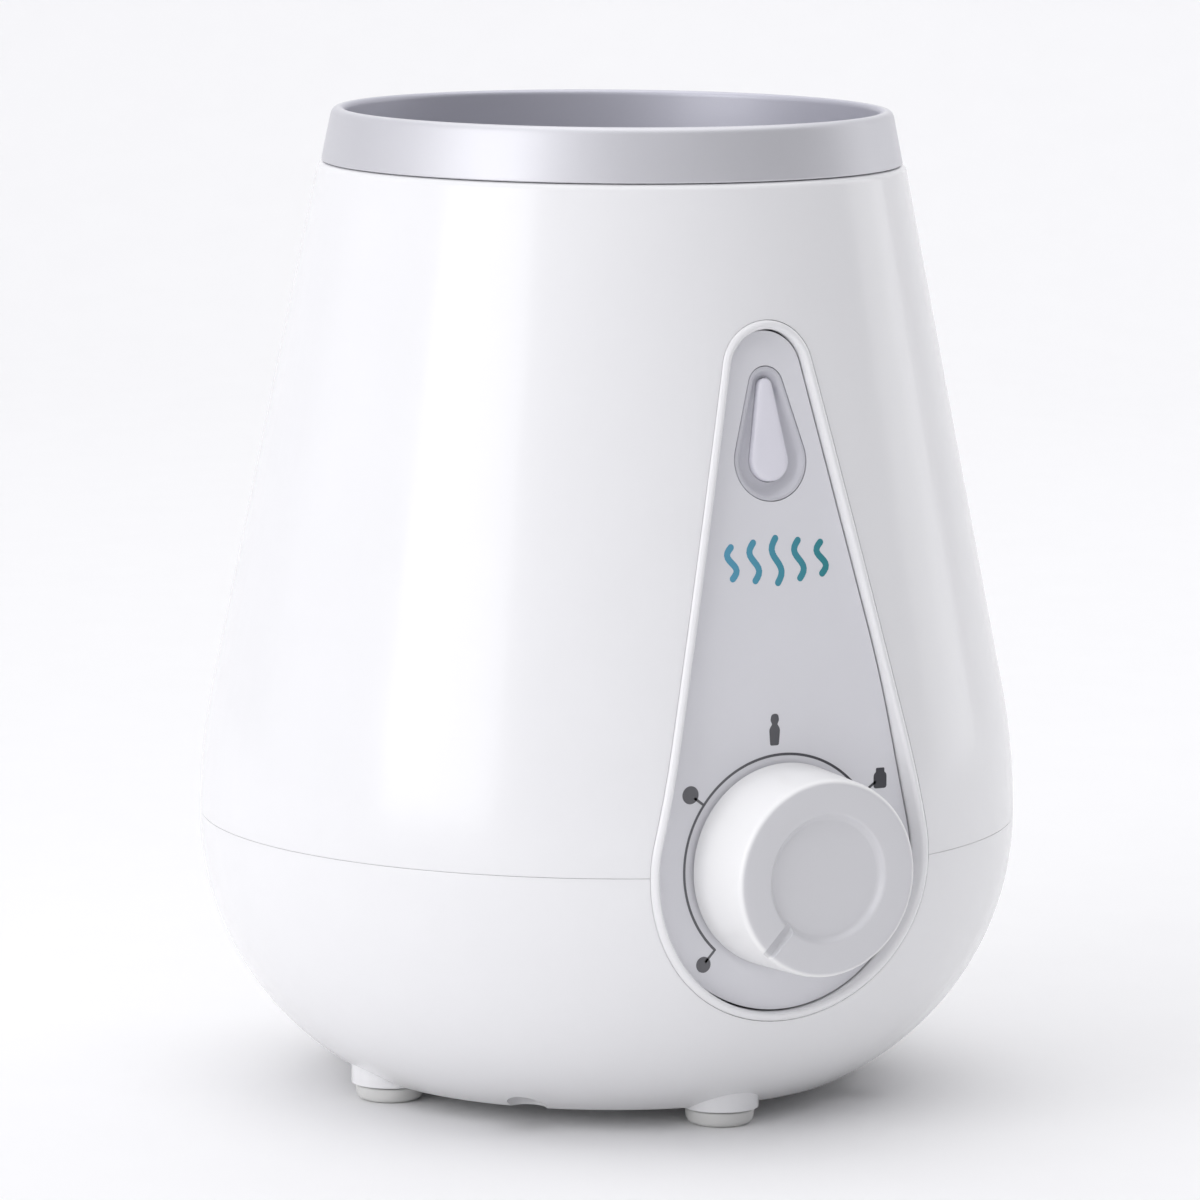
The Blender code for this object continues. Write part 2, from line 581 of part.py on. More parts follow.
def lamp():
    bezel = [lamp_tear(), lens_tear(-GAP)]
    prism("lamp_bezel", bezel, -PANEL_THICKNESS, -BEZEL_SUNK, DARK_GREY, parent=LAMP)
    prism("lamp_lens", [lens_tear()], -PANEL_THICKNESS, LENS_PROUD, CLEAR, parent=LAMP)
    front = -PANEL_THICKNESS - GAP
    back = front - HOLDER_DEPTH
    prism("lamp_holder", [lamp_tear(-1 * MM), lamp_tear(0.6 * MM)], back, front, WHITE, parent=LAMP)
    board = back - GAP
    low = (-LAMP_LOWER_RADIUS, -LAMP_LOWER_RADIUS, board - BOARD_THICKNESS)
    high = (LAMP_LOWER_RADIUS, LAMP_LENGTH + LAMP_UPPER_RADIUS, board)
    box("lamp_board", low, high, BOARD, parent=LAMP)
    dome = arc(0, 3 * MM, LED_RADIUS, pi / 2, 0, 3)
    outline = dome + [(LED_RADIUS, GAP), (0, GAP)]
    turned("lamp_led", outline, AMBER, 12, closed=False, place=(0, 0, board), parent=LAMP)


def knob():
    edge = 1 * MM
    slope = (KNOB_RADIUS - KNOB_FACE_RADIUS) / KNOB_HEIGHT
    bore = SHAFT_RADIUS + GAP
    ceiling = KNOB_TOP - DISH_DEPTH - KNOB_WALL
    outline = [(0, KNOB_TOP - DISH_DEPTH), (DISH_RADIUS - edge / 2, KNOB_TOP - DISH_DEPTH)]
    outline += [(DISH_RADIUS, KNOB_TOP)]
    outline += arc(KNOB_FACE_RADIUS - edge, KNOB_TOP - edge, edge, pi / 2, atan(slope), 3)
    outline += [(KNOB_RADIUS, KNOB_BASE), (KNOB_RADIUS - KNOB_WALL, KNOB_BASE)]
    outline += [(KNOB_FACE_RADIUS - KNOB_WALL, ceiling), (HUB_RADIUS, ceiling)]
    outline += [(HUB_RADIUS, KNOB_BASE + 1 * MM), (bore, KNOB_BASE + 1 * MM), (bore, ceiling - BITE)]
    outline += [(0, ceiling - BITE)]
    made = turned("control_knob", outline, WHITE, 32, closed=False, **KNOB_AXIS)
    low = (-POINTER_WIDTH / 2, DISH_RADIUS - edge, KNOB_TOP - DISH_DEPTH * 0.7)
    high = (POINTER_WIDTH / 2, KNOB_RADIUS, KNOB_TOP + 5 * MM)
    groove = box("pointer_groove", low, high, None, parent=made, rotation=(0, 0, -POINTER_AT_OFF))
    combine(made, groove)
    flat = SHAFT_RADIUS - SHAFT_FLAT + GAP
    half = SHAFT_RADIUS * 0.5
    clip = [(-half, flat), (half, flat), (half, flat + CLIP_THICKNESS), (-half, flat + CLIP_THICKNESS)]
    prism("knob_clip", [clip], KNOB_BASE + 2 * MM, ceiling - 2 * BITE, STEEL, parent=made)
    shaft = rod("thermostat_shaft", SHAFT_RADIUS, SHAFT_BACK, ceiling - 2 * BITE, BRASS, 20,
                parent=made)
    low = (-SHAFT_RADIUS, SHAFT_RADIUS - SHAFT_FLAT, KNOB_BASE)
    combine(shaft, box("shaft_flat", low, (SHAFT_RADIUS, 2 * SHAFT_RADIUS, KNOB_TOP), None, parent=made))


def thermostat():
    wide, tall = THERMOSTAT_HALF
    body = box("thermostat_body", (-wide, -tall, THERMOSTAT_BACK), (wide, tall, THERMOSTAT_FRONT),
               BAKELITE, **KNOB_AXIS)
    bush_front = BRACKET_FRONT + GAP + NUT_HEIGHT + GAP
    bush = rod("bush", BUSH_RADIUS, THERMOSTAT_FRONT - BITE, bush_front, None, 20, **KNOB_AXIS)
    combine(body, bush, "UNION")
    shaft_hole = rod("shaft_hole", SHAFT_RADIUS + GAP, SHAFT_BACK - GAP, KNOB_TOP, None, 20, **KNOB_AXIS)
    pin_hole = rod("pin_hole", PIN_RADIUS + GAP, 0, KNOB_TOP, None, **KNOB_AXIS)
    combine(body, shaft_hole)
    combine(body, pin_hole)
    rod("push_pin", PIN_RADIUS, THERMOSTAT_BACK - 1 * MM, SHAFT_BACK - 2 * GAP, CERAMIC, 12, **KNOB_AXIS)
    leaf_low = (-3 * MM, -tall, LEAF_FRONT - LEAF_THICKNESS)
    box("contact_leaf", leaf_low, (3 * MM, tall * 0.6, LEAF_FRONT), BRASS, **KNOB_AXIS)
    for name, x in (("left", -8 * MM), ("right", 8 * MM)):
        low = (x - 2.4 * MM, -tall * 0.9, THERMOSTAT_BACK - TAB_LENGTH)
        high = (x + 2.4 * MM, -tall * 0.9 + 0.8 * MM, THERMOSTAT_BACK - GAP)
        box("thermostat_tab_" + name, low, high, BRASS, **KNOB_AXIS)
    half_x, half_z = BRACKET_HALF_WIDTH, BRACKET_HALF_HEIGHT
    back = BRACKET_FRONT - BRACKET_THICKNESS
    bracket = box("thermostat_bracket", (-half_x, -half_z, back), (half_x, half_z, BRACKET_FRONT),
                  STEEL, **KNOB_AXIS)
    combine(bracket, rod("bush_hole", BUSH_RADIUS + GAP, 40 * MM, 80 * MM, None, 20, **KNOB_AXIS))
    ring = [arc(0, 0, NUT_RADIUS, 0, pi / 3 * 5, 5), arc(0, 0, BUSH_RADIUS + GAP, 0, 1.9 * pi, 19)]
    nut_low = BRACKET_FRONT + GAP
    prism("bush_nut", ring, nut_low, nut_low + NUT_HEIGHT, BRASS, **KNOB_AXIS)
    for name, side in (("left", -1), ("right", 1)):
        place = (side * BRACKET_SCREW_X, 0, TEAR_LOWER_Z)
        hole = rod(f"bracket_hole_{name}", SCREW_RADIUS + GAP, 40 * MM, 80 * MM, None, 12,
                   rotation=FACING_FRONT, place=place)
        combine(bracket, hole)
        place = (side * BRACKET_SCREW_X, -(back - GAP), TEAR_LOWER_Z)
        screw("bracket_screw_" + name, BRACKET_THICKNESS + 2 * GAP + 0.9 * MM, rotation=FACING_BACK,
              place=place)


def heater():
    stud_low = BRIDGE_UNDER - CLAMP_NUT_HEIGHT - 2 * MM
    outline = [(0, TANK_UNDER - GAP), (PLATE_RADIUS, TANK_UNDER - GAP), (PLATE_RADIUS, PLATE_UNDER)]
    outline += [(STUD_RADIUS, PLATE_UNDER), (STUD_RADIUS, stud_low), (0, stud_low)]
    turned("heater_plate", outline, ALUMINIUM, 32, closed=False)
    end = 3 * pi - ELEMENT_OPENING
    turn = [Vector((x, y, ELEMENT_Z)) for x, y in arc(0, 0, ELEMENT_RADIUS, ELEMENT_OPENING, end, 16)]
    down = Vector((0, 0, -ELEMENT_LEG))
    wire("heating_element", [turn[0] + down, *turn, turn[-1] + down], ELEMENT_TUBE, STEEL)
    half_x, half_y = BRIDGE_HALF
    bridge = box("heater_bridge", (-half_x, -half_y, BRIDGE_UNDER), (half_x, half_y, BRIDGE_TOP), STEEL)
    combine(bridge, rod("stud_hole", STUD_RADIUS + GAP, 0, 60 * MM, None))
    ring = [arc(0, 0, 2 * STUD_RADIUS, 0, pi / 3 * 5, 5), arc(0, 0, STUD_RADIUS + GAP, 0, 1.875 * pi, 15)]
    nut_top = BRIDGE_UNDER - GAP
    prism("clamp_nut", ring, nut_top - CLAMP_NUT_HEIGHT, nut_top, STEEL)
    held("thermal_fuse", "fuse", SENSOR_Y, FUSE_RADIUS, FUSE_LENGTH, CERAMIC)
    held("sensor_bulb", "bulb", -SENSOR_Y, BULB_RADIUS, BULB_LENGTH, COPPER)


def held(name, short, y, radius, length, finish):
    """A cylinder lying across under the heater plate, with its clip."""
    z = PLATE_UNDER - GAP - radius
    lying = (0, pi / 2, 0)
    rod(name, radius, -length / 2, length / 2, finish, 16, rotation=lying, place=(0, y, z))
    sheet = 0.6 * MM
    inner = radius + GAP
    foot = inner + sheet + 5 * MM
    top = radius
    outline = [(inner, top), (inner, -inner), (-inner, -inner), (-inner, top)]
    outline += [(-inner - sheet, top), (-inner - sheet, -inner - sheet), (inner + sheet, -inner - sheet)]
    outline += [(inner + sheet, top - sheet), (foot, top - sheet), (foot, top)]
    away = 1 if y > 0 else -1
    outline = [(away * across, up) for across, up in outline]
    prism(short + "_clip", [outline], -CLIP_WIDTH / 2, CLIP_WIDTH / 2, STEEL,
          rotation=(pi / 2, 0, pi / 2), place=(0, y, z))


def terminal_block():
    wide, deep = TERMINAL_HALF
    low = FLOOR_TOP + GAP
    top = low + TERMINAL_HEIGHT
    block = box("terminal_block", (-wide, TERMINAL_Y - deep, low), (wide, TERMINAL_Y + deep, top), BAKELITE)
    for i, x in enumerate((-8 * MM, 0, 8 * MM)):
        hole = rod(f"terminal_hole_{i}", SCREW_RADIUS + GAP, top - 5 * MM, top + 5 * MM, None, 12,
                   place=(x, TERMINAL_Y, 0))
        combine(block, hole)
        screw(f"terminal_screw_{i + 1}", 4 * MM, place=(x, TERMINAL_Y, top + GAP))


def wiring():
    """Each wire's route in millimetres, from one terminal to the next."""
    wide, deep = TERMINAL_HALF
    front = (TERMINAL_Y - deep - 3 * GAP) / MM
    side = (wide + 3 * GAP) / MM
    mid = (FLOOR_TOP + GAP + TERMINAL_HEIGHT / 2) / MM
    tab_y = -(THERMOSTAT_BACK - TAB_LENGTH - 2 * GAP) / MM
    tab_z = (TEAR_LOWER_Z - THERMOSTAT_HALF[1] * 0.9) / MM
    leg_x = ELEMENT_RADIUS * cos(ELEMENT_OPENING) / MM
    leg_y = ELEMENT_RADIUS * sin(ELEMENT_OPENING) / MM
    leg_z = (ELEMENT_Z - ELEMENT_LEG - 2 * GAP) / MM
    behind = SENSOR_Y / MM
    fuse_x = (FUSE_LENGTH / 2 + 2 * GAP) / MM
    fuse_z = (PLATE_UNDER - GAP - FUSE_RADIUS) / MM
    bulb_x = -(BULB_LENGTH / 2 + 2 * GAP) / MM
    bulb_z = (PLATE_UNDER - GAP - BULB_RADIUS) / MM
    under = (BRIDGE_UNDER - 2 * GAP) / MM
    thermostat_y = -(THERMOSTAT_BACK + THERMOSTAT_DEPTH / 2) / MM
    thermostat_z = (TEAR_LOWER_Z - THERMOSTAT_HALF[1] - 2 * GAP) / MM
    lamp_y = -(panel_distance(LAMP_Z) - BOARD_BACK - WIRE_RADIUS - 2 * GAP) / MM
    lamp_z = LAMP_Z / MM
    beside = THERMOSTAT_HALF[0] / MM
    above = (TEAR_LOWER_Z + THERMOSTAT_HALF[1]) / MM
    live = [(-8, front, mid), (-8, front - 3, mid), (-12, -4, 13), (-10, tab_y + 13, 22)]
    live += [(-8.5, tab_y + 7, tab_z - 3), (-8, tab_y + 2, tab_z), (-8, tab_y, tab_z)]
    switched = [(8, tab_y, tab_z), (8, tab_y + 2, tab_z), (8.5, tab_y + 7, tab_z), (13, -8, 29), (13, 4, 31)]
    switched += [(11, behind, fuse_z - 4), (fuse_x + 2, behind, fuse_z), (fuse_x, behind, fuse_z)]
    fuse = [(-fuse_x, behind, fuse_z), (-fuse_x - 2, behind, fuse_z), (-11, behind + 1, fuse_z - 5)]
    fuse += [(-9, leg_y - 5, leg_z - 3), (leg_x, leg_y, leg_z - 3), (leg_x, leg_y, leg_z)]
    neutral = [(8, front, mid), (8, front - 3, mid), (9, 14, mid + 6), (-leg_x, leg_y, leg_z - 3)]
    neutral += [(-leg_x, leg_y, leg_z)]
    earth = [(0, front, mid), (0, front - 3, mid), (-14, 4, 22), (-18, 0, under - 3), (-18, 0, under)]
    routes = {"live": (BROWN, live), "switched": (RED, switched), "fuse": (RED, fuse)}
    routes |= {"neutral": (BLUE, neutral), "earth": (GREEN, earth)}
    for name, hand in (("left", -1), ("right", 1)):
        lead = [(hand * side, TERMINAL_Y / MM, mid), (hand * (side + 3), TERMINAL_Y / MM, mid)]
        lead += [(hand * 22, -5, 12), (hand * 20, -34, 22), (hand * (beside + 4), -45, 45)]
        lead += [(hand * (beside + 2.5), -46, above + 3), (hand * 4, lamp_y, lamp_z - 10)]
        lead += [(hand * 3, lamp_y, lamp_z)]
        routes["lamp_" + name] = (WHITE, lead)
    for name, (finish, points) in routes.items():
        wire(name + "_wire", smooth_route([Vector(point) * MM for point in points]), WIRE_RADIUS, finish)
    capillary = [(bulb_x, -behind, bulb_z), (bulb_x - 2, -behind, bulb_z), (-11, -15, 37), (-5, -21, 31)]
    capillary += [(0, -31, 26), (0, thermostat_y + 3, 25), (0, thermostat_y, thermostat_z - 3)]
    capillary += [(0, thermostat_y, thermostat_z)]
    route = smooth_route([Vector(point) * MM for point in capillary])
    wire("capillary_tube", route, CAPILLARY_RADIUS, COPPER)


def gland():
    tube = GLAND_BORE + GLAND_WALL
    outside = housing_radius(GLAND_Z + tube) + GLAND_PROUD
    inside = housing_radius(GLAND_Z - tube, WALL) - GLAND_PROUD
    outline = [(GLAND_BORE, outside), (tube - BITE, outside), (tube, outside - BITE)]
    outline += [(tube, inside), (GLAND_BORE, inside)]
    turned("cord_grommet", outline, RUBBER, 20, rotation=FACING_BACK, place=(0, 0, GLAND_Z))


PARTS, CUTTERS, AXIS, LAMP = start_scene()
KNOB_AXIS = {"rotation": FACING_FRONT, "place": (0, 0, TEAR_LOWER_Z)}

WHITE = material("white_abs", (0.87, 0.87, 0.88), 0.25)
SILVER = material("silver_lacquer", (0.56, 0.56, 0.6), 0.35, 0.6)
GREY = material("panel_grey", (0.6, 0.6, 0.64), 0.4)
DARK_GREY = material("bezel_grey", (0.4, 0.4, 0.44), 0.35)
CLEAR = material("frosted_lens", (0.66, 0.65, 0.75), 0.3)
RUBBER = material("soft_rubber", (0.75, 0.75, 0.75), 0.7)
SILICONE = material("silicone", (0.7, 0.7, 0.68), 0.6)
ALUMINIUM = material("aluminium", (0.6, 0.6, 0.62), 0.4, 1.0)
STEEL = material("zinc_steel", (0.62, 0.62, 0.6), 0.35, 1.0)
BRASS = material("brass", (0.75, 0.58, 0.3), 0.35, 1.0)
COPPER = material("copper", (0.8, 0.45, 0.3), 0.35, 1.0)
BAKELITE = material("bakelite", (0.12, 0.09, 0.07), 0.5)
CERAMIC = material("ceramic", (0.85, 0.83, 0.78), 0.4)
BOARD = material("circuit_board", (0.1, 0.3, 0.15), 0.5)
AMBER = material("amber_led", (0.9, 0.45, 0.1), 0.2)
BROWN = material("brown_wire", (0.25, 0.12, 0.06), 0.5)
BLUE = material("blue_wire", (0.1, 0.25, 0.6), 0.5)
RED = material("red_wire", (0.6, 0.08, 0.06), 0.5)
GREEN = material("green_wire", (0.25, 0.45, 0.1), 0.5)

upper_housing()
lower_housing()
feet()
housing_screws()
mouth()
control_panel()
lamp()
knob()
thermostat()
heater()
terminal_block()
wiring()
gland()
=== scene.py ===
"""The looks of the bottle warmer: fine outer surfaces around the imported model, their materials,
a plain pale studio and the camera. Metres, in the shared frame: +Z up, the panel towards -Y."""

import json
from math import acos, asin, atan2, cos, hypot, pi, radians, sin, sqrt, tan

import bmesh
import bpy
from mathutils import Matrix, Vector


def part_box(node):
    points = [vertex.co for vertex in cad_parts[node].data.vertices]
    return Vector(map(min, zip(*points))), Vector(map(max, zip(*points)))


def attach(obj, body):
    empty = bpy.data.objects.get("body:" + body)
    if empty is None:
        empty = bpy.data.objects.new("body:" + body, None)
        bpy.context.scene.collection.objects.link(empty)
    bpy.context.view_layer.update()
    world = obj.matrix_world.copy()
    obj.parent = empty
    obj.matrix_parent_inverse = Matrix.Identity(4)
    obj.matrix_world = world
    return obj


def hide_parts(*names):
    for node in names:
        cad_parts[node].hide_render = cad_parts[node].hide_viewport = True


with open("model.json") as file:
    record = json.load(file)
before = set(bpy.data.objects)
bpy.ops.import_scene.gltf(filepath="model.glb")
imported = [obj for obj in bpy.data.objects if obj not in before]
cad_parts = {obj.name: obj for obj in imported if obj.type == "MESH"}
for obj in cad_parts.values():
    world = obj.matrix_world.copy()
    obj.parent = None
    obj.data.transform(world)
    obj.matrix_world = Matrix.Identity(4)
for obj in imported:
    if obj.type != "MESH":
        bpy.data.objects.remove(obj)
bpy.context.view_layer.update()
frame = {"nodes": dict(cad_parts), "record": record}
MM = 0.001
GAP = 0.3 * MM

# Places that come from the frame
RING_LOW, RING_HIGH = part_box("top_ring")
TANK_LOW, TANK_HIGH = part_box("water_tank")
KNOB_LOW, KNOB_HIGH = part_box("control_knob")
FOOT_LOW, FOOT_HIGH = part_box("foot_front")
AXIS_Y = (RING_LOW[1] + RING_HIGH[1]) / 2
MAX_RADIUS, _, NECK_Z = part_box("upper_housing")[1]
RING_TOP = RING_HIGH[2]
KNOB_Z = (KNOB_LOW[2] + KNOB_HIGH[2]) / 2
KNOB_RADIUS = (KNOB_HIGH[0] - KNOB_LOW[0]) / 2
KNOB_BASE = AXIS_Y - KNOB_HIGH[1]
KNOB_TOP = AXIS_Y - KNOB_LOW[1]

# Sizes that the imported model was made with
SEAM_Z = 44 * MM
NECK_RADIUS = 46.4 * MM
BLEND_RADIUS = 103 * MM
BASE_RADIUS = 40 * MM
FLOOR_Z = 3 * MM
WALL = 2.5 * MM
TONGUE = 3 * MM
PANEL_DISTANCE = 57.4 * MM
PANEL_BEND_Z = 72.71 * MM
PANEL_TOP_DEPTH = 1.75 * MM
PANEL_BEND_RADIUS = 100 * MM
PANEL_THICKNESS = 2 * MM
TEAR = (24.4 * MM, 8 * MM, 44 * MM, 119 * MM)
FRAME_WIDTH = 1.2 * MM
LAMP_Z = 105.6 * MM
LAMP_TEAR = (6.2 * MM, 3 * MM, 0, 11.4 * MM)
LENS_TEAR = (3.2 * MM, 1.2 * MM, 0, 11.4 * MM)
DISH_RADIUS = 9.9 * MM
DISH_DEPTH = 1 * MM
POINTER_AT_OFF = radians(222.8)
NUT_HOLE = 8.2 * MM
POST_CIRCLE = 41 * MM
POST_RADIUS = 3.6 * MM
POST_BOTTOM = 16 * MM
POST_TOP = 58 * MM
PILOT_DEPTH = 14 * MM
SCREW_HOLE = 1.8 * MM
SCREW_WELL = 3.1 * MM
SOCKET_RADIUS = 5.5 * MM
SOCKET_TOP = POST_BOTTOM + 3 * MM
FOOT_CIRCLE = 38.5 * MM
FOOT_BOSS_RADIUS = 6.1 * MM
FOOT_BOSS_TOP = 8 * MM
FOOT_HOLE = 2 * MM
GLAND_Z = 27 * MM
GLAND_HOLE = 5.3 * MM
TANK_RADIUS = 35.6 * MM
TANK_MOUTH = 37.6 * MM

# Choices of this script
STEPS = 160
ROD_STEPS = 48
SEAM_LINE = 0.05 * MM
SEAM_ROUND = 0.07 * MM
SHOULDER = 1.3 * MM
MERGE = 0.001 * MM
WAVES_Z = 90.5 * MM
VIEW_TURN = radians(-27.9)
VIEW_AIM = radians(0.07)

# Distances from the axis between which a cutter passes right through the housing's side
THROUGH_SIDE = (30 * MM, 90 * MM)

# Shapes and places that follow from the sizes
CONE_RISE = NECK_Z - SEAM_Z
CONE_RUN = NECK_RADIUS - MAX_RADIUS + BLEND_RADIUS
CONE_ANGLE = atan2(CONE_RISE, CONE_RUN) - acos(BLEND_RADIUS / hypot(CONE_RISE, CONE_RUN))
BLEND_TOP = SEAM_Z + BLEND_RADIUS * sin(CONE_ANGLE)
BOWL_DEPTH = SEAM_Z - FLOOR_Z
BOWL_CENTRE = MAX_RADIUS**2 - BASE_RADIUS**2 - BOWL_DEPTH**2
BOWL_CENTRE /= 2 * (MAX_RADIUS - BASE_RADIUS)
BOWL_RADIUS = MAX_RADIUS - BOWL_CENTRE
PANEL_TOP = NECK_RADIUS + (NECK_Z - TEAR[3]) * tan(CONE_ANGLE) - PANEL_TOP_DEPTH
PANEL_LEAN = atan2(PANEL_DISTANCE - PANEL_TOP, TEAR[3] - PANEL_BEND_Z)
BEND_START = PANEL_BEND_Z - PANEL_BEND_RADIUS * tan(PANEL_LEAN / 2)
TO_FRONT = Matrix.Translation((0, AXIS_Y, 0)) @ Matrix.Rotation(pi / 2, 4, "X")
TO_BACK = Matrix.Translation((0, AXIS_Y, 0)) @ Matrix.Rotation(-pi / 2, 4, "X")
UPRIGHT = Matrix.Translation((0, AXIS_Y, 0))
SIDEWAYS = TO_FRONT @ Matrix.Rotation(-pi / 2, 4, "Y")
KNOB_AXIS = Matrix.Translation((0, 0, KNOB_Z)) @ TO_FRONT
GLAND_AXIS = Matrix.Translation((0, 0, GLAND_Z)) @ TO_BACK


# Outlines


def arc(x, y, radius, start, end, segments):
    turns = [start + (end - start) * i / segments for i in range(segments + 1)]
    return [(x + radius * cos(turn), y + radius * sin(turn)) for turn in turns]


def softened(corners, segments=4):
    """An outline whose corners, given as (x, y, radius), are rounded."""
    points = []
    count = len(corners)
    for i, (x, y, radius) in enumerate(corners):
        here = Vector((x, y))
        if not radius:
            points.append((x, y))
            continue
        before = Vector(corners[i - 1][:2]) - here
        after = Vector(corners[(i + 1) % count][:2]) - here
        start = here + before.normalized() * min(radius, before.length / 2)
        end = here + after.normalized() * min(radius, after.length / 2)
        for step in range(segments + 1):
            t = step / segments
            spot = start * (1 - t) ** 2 + here * 2 * t * (1 - t) + end * t**2
            points.append((spot.x, spot.y))
    return points


def housing_radius(z, inset=0.0):
    """The housing's radius at a height, less an inset square to its surface."""
    if z <= SEAM_Z:
        return BOWL_CENTRE + sqrt((BOWL_RADIUS - inset) ** 2 - (SEAM_Z - z) ** 2)
    if z <= BLEND_TOP:
        return MAX_RADIUS - BLEND_RADIUS + sqrt((BLEND_RADIUS - inset) ** 2 - (z - SEAM_Z) ** 2)
    return NECK_RADIUS + (NECK_Z - z) * tan(CONE_ANGLE) - inset / cos(CONE_ANGLE)


def cone_side(low, high, inset=0.0, segments=16):
    bend = [low + (BLEND_TOP - low) * i / segments for i in range(segments + 1)]
    return [(housing_radius(z, inset), z) for z in [*bend, high]]


def bowl_side(low, inset=0.0, segments=28):
    end = asin((SEAM_Z - low) / (BOWL_RADIUS - inset))
    return arc(BOWL_CENTRE, SEAM_Z, BOWL_RADIUS - inset, 0, -end, segments)


def teardrop(tear, inset=0.0, fine=1.0, along=12):
    """Two rounds joined by their tangents, with points along the straight sides as well."""
    lower_radius, upper_radius, lower_y, upper_y = tear
    slope = asin((lower_radius - upper_radius) / (upper_y - lower_y))
    top = arc(0, upper_y, upper_radius - inset, slope, pi - slope, round(20 * fine))
    bottom = arc(0, lower_y, lower_radius - inset, pi - slope, 2 * pi + slope, round(48 * fine))
    outline = []
    for side in (top + bottom[:1], bottom + top[:1]):
        (x0, y0), (x1, y1) = side[-2:]
        shares = [i / along for i in range(1, along)]
        outline += side[:-1] + [(x0 + (x1 - x0) * t, y0 + (y1 - y0) * t) for t in shares]
    return outline


def panel_distance(z):
    """The panel's distance from the body's axis at a height."""
    if z <= BEND_START:
        return PANEL_DISTANCE
    turn = asin(min(1.0, (z - BEND_START) / PANEL_BEND_RADIUS))
    if turn < PANEL_LEAN:
        return PANEL_DISTANCE - PANEL_BEND_RADIUS * (1 - cos(turn))
    return PANEL_DISTANCE - (z - PANEL_BEND_Z) * tan(PANEL_LEAN)


def panel_layer(front, back):
    """The layer between two insets from the panel's face, seen from the side."""
    sides = []
    for inset in (front, back):
        centre = PANEL_DISTANCE - PANEL_BEND_RADIUS
        bend = arc(centre, BEND_START, PANEL_BEND_RADIUS - inset, 0, PANEL_LEAN, 14)
        reach = TEAR[3] + 2 * TEAR[1] - BEND_START
        x, y = bend[-1]
        end = (x - reach * sin(PANEL_LEAN), y + reach * cos(PANEL_LEAN))
        sides.append([(PANEL_DISTANCE - inset, 0), *bend, end])
    return sides[0] + sides[1][::-1]


# Meshes


def add(name, mesh, matrix=None):
    """A new object in the scene, its mesh moved by a matrix."""
    if matrix:
        mesh.transform(matrix)
    obj = bpy.data.objects.new(name, mesh)
    bpy.context.scene.collection.objects.link(obj)
    return obj


def settled(obj, sharp=30):
    """Applies an object's modifiers and smooths its normals up to an angle."""
    graph = bpy.context.evaluated_depsgraph_get()
    mesh = bpy.data.meshes.new_from_object(obj.evaluated_get(graph))
    obj.modifiers.clear()
    old = obj.data
    obj.data = mesh
    if not old.users:
        bpy.data.meshes.remove(old)
    mesh.shade_smooth()
    mesh.set_sharp_from_angle(angle=radians(sharp))


def turned(name, outline, matrix=UPRIGHT, steps=STEPS, closed=True):
    """A profile of (radius, height) points, running down its outer side, turned round Z."""
    mesh = bpy.data.meshes.new(name)
    edges = [(i, i + 1) for i in range(len(outline) - 1)]
    if closed:
        edges.append((len(outline) - 1, 0))
    mesh.from_pydata([(x, 0, z) for x, z in outline], edges, [])
    obj = add(name, mesh)
    screw = obj.modifiers.new("Turn", "SCREW")
    screw.steps = screw.render_steps = steps
    screw.use_merge_vertices = True
    screw.merge_threshold = MERGE
    settled(obj)
    obj.data.transform(matrix)
    return obj


def rod(name, radius, low, high, matrix=UPRIGHT):
    outline = [(0, high), (radius, high), (radius, low), (0, low)]
    return turned(name, outline, matrix, ROD_STEPS, closed=False)


def prism(name, outline, low, high, matrix=TO_FRONT):
    """A flat outline extruded along local Z from low to high."""
    curve = bpy.data.curves.new(name, "CURVE")
    curve.dimensions = "2D"
    curve.fill_mode = "BOTH"
    curve.extrude = (high - low) / 2
    spline = curve.splines.new("POLY")
    spline.points.add(len(outline) - 1)
    for point, (x, y) in zip(spline.points, outline):
        point.co = (x, y, 0, 1)
    spline.use_cyclic_u = True
    flat = bpy.data.objects.new(name, curve)
    bpy.context.scene.collection.objects.link(flat)
    graph = bpy.context.evaluated_depsgraph_get()
    mesh = bpy.data.meshes.new_from_object(flat.evaluated_get(graph))
    bpy.data.objects.remove(flat)
    edit = bmesh.new()
    edit.from_mesh(mesh)
    bmesh.ops.remove_doubles(edit, verts=edit.verts, dist=MERGE)
    bmesh.ops.recalc_face_normals(edit, faces=edit.faces)
    edit.to_mesh(mesh)
    edit.free()
    mesh.transform(Matrix.Translation((0, 0, (low + high) / 2)))
    return add(name, mesh, matrix)


def loft(name, loops, matrix=None, cap_start=False, cap_end=False, ring=False):
    """A skin through closed loops of points, which all hold the same number of points."""
    edit = bmesh.new()
    rows = [[edit.verts.new(point) for point in loop] for loop in loops]
    pairs = list(zip(rows, rows[1:]))
    if ring:
        pairs.append((rows[-1], rows[0]))
    for first, second in pairs:
        for i in range(len(first)):
            edit.faces.new((first[i - 1], first[i], second[i], second[i - 1]))
    if cap_start:
        edit.faces.new(rows[0])
    if cap_end:
        edit.faces.new(rows[-1][::-1])
    bmesh.ops.recalc_face_normals(edit, faces=edit.faces)
    mesh = bpy.data.meshes.new(name)
    edit.to_mesh(mesh)
    edit.free()
    obj = add(name, mesh, matrix)
    mesh.shade_smooth()
    mesh.set_sharp_from_angle(angle=radians(40))
    return obj


def box(name, low, high, matrix):
    mesh = bpy.data.meshes.new(name)
    edit = bmesh.new()
    bmesh.ops.create_cube(edit, size=1)
    edit.to_mesh(mesh)
    edit.free()
    low, high = Vector(low), Vector(high)
    mesh.transform(Matrix.Translation((low + high) / 2) @ Matrix.Diagonal((*(high - low), 1)))
    return add(name, mesh, matrix)


